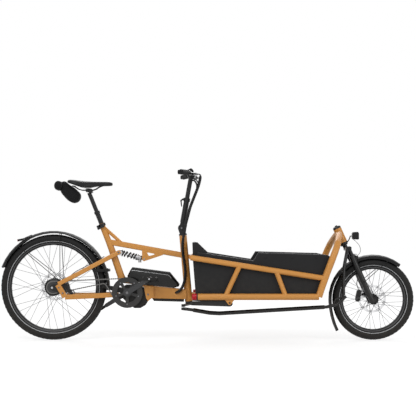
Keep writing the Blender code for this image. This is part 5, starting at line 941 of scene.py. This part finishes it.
# %% Panel rivets along the rails
PANEL_FACE = 0.2146
rivets = []
for which, out in sides:
    low_row = [(x, 0.322) for x in (0.015, 0.15, 0.30, 0.45, 0.60)]
    rail_row = [(x, 0.54 - 0.155 * (x + 0.102)) for x in (-0.03, 0.10, 0.22)]
    top_row = [(x, 0.525) for x in (0.36, 0.52, 0.67)]
    rivets += [((x, which * PANEL_FACE, z), out) for x, z in low_row + rail_row + top_row]
add_bolts("panel_rivets", "frame", rivets, 0.0045, moulded_black)

# %% [markdown]
# ## Edge trims
# The sheet panels end in a raised trim of smooth plastic, which keeps their edge from cutting a
# hand and shows as a fine light line. It is a flat strip folded over the edge, so it is swept
# along the same outline as the panel's top.

# %% Trims on the box
def edge_trim(name, path, half_width):
    """A low strip along a path in the side view; the path's own place gives its middle."""
    points = []
    for i, p in enumerate(path):
        before = (p - path[i - 1]).normalized() if i else (path[1] - p).normalized()
        after = (path[i + 1] - p).normalized() if i < len(path) - 1 else before
        along = (before + after).normalized()
        up = Vector((-along.z, 0, along.x))
        reach = 1 / max(up.dot(Vector((-after.z, 0, after.x))), 0.6)
        for aside, rise in ((-half_width, -0.005), (-half_width, 0.0006), (-half_width * 0.5, 0.0016),
                            (half_width * 0.5, 0.0016), (half_width, 0.0006), (half_width, -0.005)):
            points.append(p + up * rise * reach + Vector((0, aside, 0)))
    add_loft(name, points, 6, trim_plastic, "frame")


trim_plastic, _ = finish("trim_plastic", (0.030, 0.030, 0.032), 0.36, grain=900, bump=0.08)
TRIM_LINE = [(-0.0588, 0.5603), (0.283, 0.5074), (0.314, 0.5565), (0.714, 0.5455), (0.748, 0.5375),
             (0.7575, 0.5245)]
for which, hand in HANDS:
    edge_trim("panel_trim_" + hand, [Vector((x, which * 0.2095, z)) for x, z in TRIM_LINE], 0.0054)
print("each trim:", len(TRIM_LINE), "corners")

# %% [markdown]
# ## Hoses and wires
# Black hoses feed the two brakes, and a thin wire the lamp. Each hose is clipped to one part of
# the bike, so it moves with that part alone. The wire runs from the lamp on the fork to the legs
# that slide in it, and is left on no body.

# %% Brake hoses and lamp wire
hose_rubber, _ = finish("hose_rubber", (0.0090, 0.0090, 0.0095), 0.45, grain=1500, bump=0.1)
REAR_HOSE = [(-0.893, 0.064, 0.365), (-0.880, 0.066, 0.398), (-0.846, 0.0770, 0.4285),
             (-0.790, 0.0690, 0.4580), (-0.720, 0.0620, 0.4940), (-0.660, 0.0575, 0.5270)]
FRONT_HOSE = [(0.9655, 0.047, 0.316), (0.9570, 0.058, 0.352), (0.962, 0.0790, 0.385),
              (0.9420, 0.0795, 0.440), (0.9130, 0.0790, 0.500), (0.9030, 0.0770, 0.527)]
LAMP_WIRE = [(0.9230, 0.006, 0.640), (0.946, 0.008, 0.622), (0.968, 0.010, 0.594),
             (0.9735, 0.010, 0.566), (0.966, 0.009, 0.546), (0.952, 0.008, 0.533)]
for name, places, body in (("rear_brake_hose", REAR_HOSE, "swingarm"),
                           ("front_brake_hose", FRONT_HOSE, "fork_lowers")):
    tube(name, smooth_path(places), 0.0025, hose_rubber, body)
wire = tube("lamp_wire", smooth_path(LAMP_WIRE), 0.0015, hose_rubber, None, 6)
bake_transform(wire)
print("lamp wire:", len(wire.data.vertices), "points")

# %% [markdown]
# ## Cable bundle
# All cables from the handlebar run down in one thick ribbed sleeve. It turns with the bars, tilts
# with the stem and gives way when the riser slides down, and one stiff solid can't do all three.
# So it is made of three lengths, which are left on no body. They meet inside one
# another.

# %% Ribbed sleeve in three lengths
def ribbed(name, path, radius):
    """A sleeve with fine ribs, left on no body."""
    sides = 14
    route = smooth_path(path, 10)
    rings = []
    for i, point in enumerate(route):
        tangent = (route[min(i + 1, len(route) - 1)] - route[max(i - 1, 0)]).normalized()
        across = (Vector((0, 1, 0)) - tangent * tangent.y).normalized()
        up = across.cross(tangent)
        drawn_in = min(1.0, min(i, len(route) - 1 - i) / 4)
        here = radius * (1.0 if i % 2 else 0.93) * (0.66 + 0.34 * drawn_in)
        for angle in round_angles(sides):
            rings.append(point + across * here * math.cos(angle) + up * here * math.sin(angle))
    piece = add_loft(name, rings, sides, hose_rubber, None)
    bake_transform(piece)
    print(name, len(route), "rings")
    return piece


low_path = [(-0.202, -0.027, 0.299), (-0.186, -0.0405, 0.306), (-0.171, -0.0430, 0.3185),
            (-0.1535, -0.0410, 0.347), (-0.1430, -0.0385, 0.386), (-0.1400, -0.0365, 0.437),
            (-0.1465, -0.0362, 0.497), (-0.1540, -0.0362, 0.542), (-0.1570, -0.0370, 0.600),
            (-0.1515, -0.0380, 0.650), (-0.1455, -0.0390, 0.690)]
joint_path = [(-0.1490, -0.0384, 0.668), (-0.1455, -0.0390, 0.690), (-0.1415, -0.0390, 0.712),
              (-0.1360, -0.0385, 0.737)]
high_path = [(-0.1395, -0.0388, 0.722), (-0.1340, -0.0380, 0.745), (-0.1240, -0.0370, 0.782),
             (-0.1080, -0.0350, 0.8415), (-0.0850, -0.0335, 0.9015), (-0.0590, -0.0320, 0.969),
             (-0.0480, -0.0310, 1.010), (-0.0435, -0.0300, 1.040)]
low_sleeve = ribbed("cable_bundle_low", low_path, 0.0092)
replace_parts(low_sleeve, "cable_sleeve")
ribbed("cable_bundle_boot", joint_path, 0.0110)
ribbed("cable_bundle_high", high_path, 0.0098)

# %% Hoses from the levers and the display into the bundle
BAR_HOSES = {
    "brake_hose_right": (0.0030, [(-0.0985, -0.150, 1.0485), (-0.0905, -0.126, 1.0505),
                                  (-0.0690, -0.085, 1.0510), (-0.0510, -0.050, 1.0470),
                                  (-0.0425, -0.033, 1.0330), (-0.0455, -0.030, 1.0120)]),
    "brake_hose_left": (0.0030, [(-0.0985, 0.150, 1.0485), (-0.0880, 0.115, 1.0530),
                                 (-0.0620, 0.060, 1.0540), (-0.0470, 0.010, 1.0510),
                                 (-0.0430, -0.020, 1.0400), (-0.0475, -0.031, 1.0120)]),
    "display_cable": (0.0055, [(-0.1010, -0.020, 1.0080), (-0.0880, -0.029, 1.0110),
                               (-0.0755, -0.034, 1.0010), (-0.0665, -0.034, 0.9800),
                               (-0.0670, -0.033, 0.9560)]),
    "power_cable": (0.0040, [(-0.0960, -0.012, 1.0250), (-0.0790, -0.026, 1.0190),
                             (-0.0660, -0.032, 1.0080), (-0.0580, -0.032, 0.9900),
                             (-0.0600, -0.032, 0.9700)]),
}
for name, (thickness, places) in BAR_HOSES.items():
    tube(name, smooth_path(places), thickness, hose_rubber, "stem_riser")
print("hoses at the bars:", len(BAR_HOSES))

# %% [markdown]
# ## Coil spring
# The spring round the shock shortens as the rear end moves. The solid spring is stiff, so a wound
# wire of its own replaces it, on the shock's body and with a mesh of its own.

# %% Spring wire
SHOCK_FRONT = Vector((-0.400, 0, 0.513))
SHOCK_REAR = Vector((-0.561, 0, 0.555))
shock_axis = (SHOCK_REAR - SHOCK_FRONT).normalized()
shock_length = (SHOCK_REAR - SHOCK_FRONT).length
SPRING_START, SPRING_END = 0.0465, shock_length - 0.0130


def make_spring():
    wire_radius, coil_radius, coils = 0.0042, 0.0164, 5.5
    low, high = SPRING_START + wire_radius + 0.0002, SPRING_END - wire_radius - 0.0002
    across = shock_axis.cross(Vector((0, 1, 0))).normalized()
    route = []
    count = int(coils * 22)
    for k in range(count + 1):
        share = k / count
        turn = 2 * math.pi * coils * share
        climb = share - 0.045 * math.sin(2 * math.pi * share)
        route.append(SHOCK_FRONT + shock_axis * (low + (high - low) * climb)
                     + (across * math.cos(turn) + Vector((0, 1, 0)) * math.sin(turn)) * coil_radius)
    spring = tube("coil_spring", route, wire_radius, black_coat, "shock_body", 10)
    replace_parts(spring, "shock_spring")
    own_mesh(spring)
    print("spring of", coils, "coils in", round(high - low, 4), "m")


make_spring()

# %% [markdown]
# ## Mudguard edges
# The real mudguards have deep sides that hide the gap over the tyre. A thin band under each edge
# of the solid strip gives that depth. It follows the same arc, and flares where the flap does.

# %% Bands under the edges
FRONT_GUARD, REAR_GUARD = 0.2745, 0.3452


def guard_band(name, body, axle, angles, outer, depth, aside, lift=lambda degrees: 0.0):
    """A thin band along an arc, with its depth given for each angle in degrees."""
    points = []
    for degrees in angles:
        a = math.radians(degrees)
        inner, inside = outer - depth(degrees), aside * 0.945
        for reach, y in ((outer, aside), (inner, aside), (inner, inside), (outer, inside)):
            points.append(on_circle(axle, reach + lift(degrees), a, y))
    add_loft(name, points, 4, moulded_black, body)


def front_flare(degrees):
    return 0.028 * max(0.0, (degrees - 181.2) / 39.8) ** 2


def front_depth(degrees):
    return 0.0172 - 0.0072 * min(1.0, max(0.0, (degrees - 138) / 14))


def rear_depth(degrees):
    away = min(1.0, max(0.0, abs(degrees - 97) - 14) / 14)
    return 0.0015 + 0.0060 * away


front_angles = [52 + 169 * k / 51 for k in range(52)]
rear_angles = [-3 + 162 * k / 60 for k in range(61)]
for which, hand in HANDS:
    guard_band("front_guard_band_" + hand, "fork_lowers", FRONT_AXLE, front_angles, FRONT_GUARD,
               front_depth, which * 0.0325, front_flare)
    guard_band("rear_guard_band_" + hand, "swingarm", REAR_AXLE, rear_angles, REAR_GUARD,
               rear_depth, which * 0.0350)
print("bands of", len(front_angles), "and", len(rear_angles), "sections")

# %% [markdown]
# ## Battery case
# The battery is a long case with broad chamfers all round, which catch the light along its top.
# It is built as a stack of outlines: the full one on most of its width, smaller ones at both
# faces, and a slightly smaller pair in the middle for the groove where its two shells meet.

# %% Chamfered case
BATTERY_OUTLINE = [(-0.498, 0.3795), (-0.506, 0.407), (-0.488, 0.442), (-0.475, 0.461),
                   (-0.237, 0.430), (-0.176, 0.3540), (-0.180, 0.3400), (-0.216, 0.3297),
                   (-0.380, 0.3484), (-0.434, 0.3675)]
FACE_OUTLINE = [(-0.4940, 0.3810), (-0.4990, 0.4020), (-0.4840, 0.4310), (-0.4720, 0.4415),
                (-0.2460, 0.4120), (-0.1900, 0.3530), (-0.1910, 0.3445), (-0.2180, 0.3350),
                (-0.3800, 0.3535), (-0.4320, 0.3715)]


def case_corner(k, share, y):
    """A corner of the case, between the full outline (share 0) and that of the flat side (share 1)."""
    full, face = BATTERY_OUTLINE[k], FACE_OUTLINE[k]
    return Vector((full[0] + (face[0] - full[0]) * share, y, full[1] + (face[1] - full[1]) * share))


points = []
half_layers = [(0.0042, 0.07), (0.0050, 0.01), (0.0325, 0.01), (0.0340, 0.07), (0.0446, 0.93),
               (0.0450, 1.0)]
layers = [(-y, share) for y, share in half_layers[::-1]] + half_layers
for y, share in layers:
    points += [case_corner(k, share, y) for k in range(len(BATTERY_OUTLINE))]
case = add_loft("battery_case", points, len(BATTERY_OUTLINE), battery_black, "frame")
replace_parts(case, "battery")
print("case of", len(layers), "outlines")

# %% Bright lines along the case, painted highlights on the top chamfer and the lower edge
for which, hand in HANDS:
    upper = [case_corner(k, 0.97, which * 0.0446) for k in (2, 3, 4, 5)]
    upper[0] = upper[0].lerp(upper[1], 0.5)
    upper[3] = upper[2].lerp(upper[3], 0.35)
    lower = [case_corner(k, 0.20, which * 0.0355) for k in (7, 8, 9)]
    # Thin bright steel lines where the top chamfer and the lower edge catch the light: painted
    # highlights.
    tube("battery_highlight_upper_" + hand, upper, 0.0010, steel, "frame", 6)
    tube("battery_highlight_lower_" + hand, lower, 0.0010, steel, "frame", 6)
print("seam", round((upper[-1] - upper[0]).length, 3), "m long")

# %% [markdown]
# ## Lenses, screen and light
# The headlamp has a clear lens in a black bezel with a bright reflector behind. The display has a
# dark glass face. The lower rails end in round red reflectors, whose lens is a field of small
# prisms. A slim rear light sits on the mudguard's end, black with a red back. The prisms are a
# relief of small cells, because cut ones would need far too many faces.

# %% Glass and lenses
def add_glass(name, colour, roughness=0.08):
    """A finish with a clear coat, nearly even and clean."""
    return finish(name, colour, roughness, coat=0.6, grain=400, bump=0.01, dust=0.02, uneven=0.02)


lens_clear, parts = add_glass("lens_clear", (0.62, 0.65, 0.68))
press_in(parts, cells_at(parts["tree"], 260.0), 0.6, 0.001)
screen_glass, _ = add_glass("screen_glass", (0.012, 0.014, 0.018), 0.06)

lamp_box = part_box("headlight")
lamp_middle = Vector((lamp_box[1][0], 0, (lamp_box[0][2] + lamp_box[1][2]) / 2))
points, faces = turned([(0.0185, -0.004), (0.0185, -0.0012), (0.0150, -0.0006), (0.0060, -0.0002)],
                       lamp_middle, Vector((1, 0, 0)), 28)
add_piece("lamp_lens", points, faces, lens_clear, "fork")
print("lamp lens at", [round(v, 3) for v in lamp_middle])

# %% Screen face on the display's rear slope
rear_top = Vector((-0.13011, 0, 1.0753))
front_top = Vector((-0.10411, 0, 1.0873))
slope = (front_top - rear_top).normalized()
out = Vector((-slope.z, 0, slope.x))
corners = []
for share, y in ((0.08, -0.029), (0.92, -0.029), (0.92, 0.029), (0.08, 0.029)):
    corners.append(rear_top.lerp(front_top, share) + Vector((0, y, 0)))
points = [c - out * 0.0006 for c in corners] + [c + out * 0.0001 for c in corners]
add_loft("display_glass", points, 4, screen_glass, "stem_riser", smooth=False)
print("screen", round((front_top - rear_top).length, 4), "m deep")

# %% Reflectors on the rail ends
red_lens, parts = add_glass("red_lens", (0.50, 0.003, 0.010), 0.30)
parts["shader"].inputs["Coat Weight"].default_value = 0.15
press_in(parts, cells_at(parts["tree"], 520.0), 0.5, 0.0008)


def add_reflector(name, which):
    """A red cup over the end of a lower rail, and the black ring that holds it."""
    centre = Vector((-0.0585, which * 0.235, 0.2865))
    cup = [(0.0203, -0.0280), (0.0203, -0.0080), (0.0207, -0.0074), (0.0207, -0.0300), (0.0196, -0.0335),
           (0.0150, -0.0360), (0.0075, -0.0372), (0.0012, -0.0375), (0.0012, -0.0285)]
    points, faces = turned(cup, centre, Vector((1, 0, 0)), 32)
    lens = add_piece(name, points, faces, red_lens, "frame")
    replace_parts(lens, name.replace("reflector", "cap"))
    ring = [(0.0203, -0.0078), (0.0212, -0.0074), (0.0212, -0.0006), (0.0206, 0.0), (0.0203, 0.0)]
    points, faces = turned(ring, centre, Vector((1, 0, 0)), 32)
    add_piece(name + "_ring", points, faces, moulded_black, "frame")


for which, hand in HANDS:
    add_reflector("rail_reflector_" + hand, which)
print("reflectors:", len(HANDS))

# %% Slim rear light on the mudguard
lamp_finish, parts = finish("rear_lamp", (0.0095, 0.0095, 0.0100), 0.30, grain=900, bump=0.1)
LENS_FRONT = -1.2005
is_back = math_node(parts["tree"], "LESS_THAN", own_place(parts["tree"])["X"], LENS_FRONT)
paint_over(parts, is_back, (0.22, 0.006, 0.007, 1))

TAIL_OUTLINE = [(-1.1130, 0.6640), (-1.1360, 0.6534), (-1.1600, 0.6393), (-1.1740, 0.6300),
                (-1.2030, 0.6235), (-1.2045, 0.6370), (-1.1660, 0.6445), (-1.1400, 0.6560),
                (-1.1150, 0.6668)]
corners = [Vector(p) for p in TAIL_OUTLINE]
centre = sum(corners, Vector((0, 0))) / len(corners)
points = []
for y, share in ((-0.0180, 0.70), (-0.0165, 1.0), (0.0165, 1.0), (0.0180, 0.70)):
    for p in corners:
        q = centre + (p - centre) * (0.94 + 0.06 * share)
        points.append(Vector((q.x, y, q.y)))
tail_light = add_loft("tail_light", points, len(corners), lamp_finish, "swingarm")
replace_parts(tail_light, "rear_light")
print("rear light:", len(points), "points")

# %% [markdown]
# ## Rod cover
# The long steering rod carries a black protective sleeve over its straight part, which makes it
# look thicker below the box than at its ends.

# %% Cover on the steering rod
ROD_PLACES = [(-0.0880, -0.1154, 0.1970), (0.0154, -0.1174, 0.1796), (0.0750, -0.1183, 0.1764),
              (0.3000, -0.1206, 0.1900), (0.5600, -0.1233, 0.2057), (0.7300, -0.1251, 0.2160)]
tube("rod_cover", ROD_PLACES, 0.0130, fork_black, "tie_rod", 20)
print("cover from x", ROD_PLACES[0][0], "to", ROD_PLACES[-1][0])

# %% [markdown]
# ## Finishes onto the solids
# Every solid gets its finish by name. The frame shows its orange paint, the box its pressed
# sheet, and nearly all the rest is black in several glosses, as on the real bike.

# %% Solids and their finishes
FINISHES = [
    (orange_paint, "rear_frame cargo_frame swingarm"),
    (panel_sheet, "cargo_floor side_panel_right side_panel_left rear_wall front_wall"),
    (moulded_black, "motor under_cover display headlight front_mudguard rear_mudguard rail_cap_right"),
    (moulded_black, "rail_cap_left ring_lock idler_pulley pedal_right pedal_left"),
    (battery_black, "battery"),
    (hose_rubber, "cable_sleeve"),
    (black_coat, "seat_clamp seat_clamp_lever kickstand seat_sleeve seat_shaft saddle_rails"),
    (black_coat, "steering_shaft stem_hinge stem_tube stem_clamp_lever stem_riser handlebar"),
    (black_coat, "brake_lever_right brake_lever_left tie_rod rear_axle rear_caliper"),
    (black_coat, "chain_tensioner tensioner_arm shock_spring"),
    (grip_rubber, "grip_right grip_left front_tyre rear_tyre"),
    (fork_black, "fork_crown fork_lowers"),
    (front_wheel_metal, "front_wheel"),
    (rear_wheel_metal, "rear_wheel"),
    (front_disc_steel, "front_brake_disc"),
    (rear_disc_steel, "rear_brake_disc"),
    (lamp_finish, "rear_light"),
    (dark_steel, "rear_sprocket"),
    (grey_anodised, "shock_body"),
    (steel, "shock_shaft"),
    (crank_black, "crankset"),
    (chain_steel, "chain"),
    (saddle_skin, "saddle"),
    (bag_cloth, "saddle_bag"),
]
finish_of = {name: material for material, names in FINISHES for name in names.split()}
for name, node in nodes.items():
    node.data.materials.clear()
    node.data.materials.append(finish_of[name])
print("finishes on", len(finish_of), "solids")

# %% [markdown]
# ## Soft edges and smooth rounds
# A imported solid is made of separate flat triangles, so a round tube shows its flats. Four
# modifiers mend that without touching the mesh: one joins the triangles, one takes the sharpness
# off the corners, one shades whatever turns less than a corner as a smooth round, and the last
# keeps wide flat sides looking flat beside their soft edges.

# %% Modifiers on the solids
CORNER = math.radians(50)
PLAIN_EDGE = 0.0007
EDGE_WIDTHS = {"motor": 0.0022, "headlight": 0.0035, "display": 0.0020, "swingarm": 0.0015,
               "rear_frame": 0.0012, "cargo_frame": 0.0012, "under_cover": 0.0020, "ring_lock": 0.0015}
NO_BEVEL = ("rear_wheel", "front_wheel", "rear_sprocket", "idler_pulley", "crankset", "saddle_rails")


def geometry_group(name):
    """A geometry group with a mesh in and a mesh out."""
    group = bpy.data.node_groups.new(name, "GeometryNodeTree")
    group.interface.new_socket("Geometry", in_out="INPUT", socket_type="NodeSocketGeometry")
    group.interface.new_socket("Geometry", in_out="OUTPUT", socket_type="NodeSocketGeometry")
    return group, group.nodes.new("NodeGroupInput"), group.nodes.new("NodeGroupOutput")


join_group, source, target = geometry_group("join_triangles")
merge = join_group.nodes.new("GeometryNodeMergeByDistance")
merge.inputs["Distance"].default_value = 0.00001
bare = join_group.nodes.new("GeometryNodeSetMeshNormal")
bare.mode = "SHARPNESS"
join_group.links.new(source.outputs[0], merge.inputs["Geometry"])
join_group.links.new(merge.outputs["Geometry"], bare.inputs["Mesh"])
join_group.links.new(bare.outputs["Mesh"], target.inputs[0])

round_group, source, target = geometry_group("smooth_rounds")
turn = round_group.nodes.new("GeometryNodeInputMeshEdgeAngle")
sharp = math_node(round_group, "GREATER_THAN", turn.outputs["Unsigned Angle"], CORNER)
shade = round_group.nodes.new("GeometryNodeSetMeshNormal")
shade.mode = "SHARPNESS"
round_group.links.new(sharp, shade.inputs["Edge Sharpness"])
round_group.links.new(source.outputs[0], shade.inputs["Mesh"])
round_group.links.new(shade.outputs["Mesh"], target.inputs[0])

for name, node in nodes.items():
    if node.hide_render:
        continue
    node.modifiers.new("join", "NODES").node_group = join_group
    if name not in NO_BEVEL:
        bevel = node.modifiers.new("soft_edges", "BEVEL")
        bevel.width = EDGE_WIDTHS.get(name, PLAIN_EDGE)
        bevel.segments = 2
        bevel.limit_method = "ANGLE"
        bevel.angle_limit = CORNER
    node.modifiers.new("rounds", "NODES").node_group = round_group
    even = node.modifiers.new("flat_sides_flat", "WEIGHTED_NORMAL")
    even.keep_sharp = True
print("soft edges on", sum(1 for node in nodes.values() if node.modifiers), "solids")
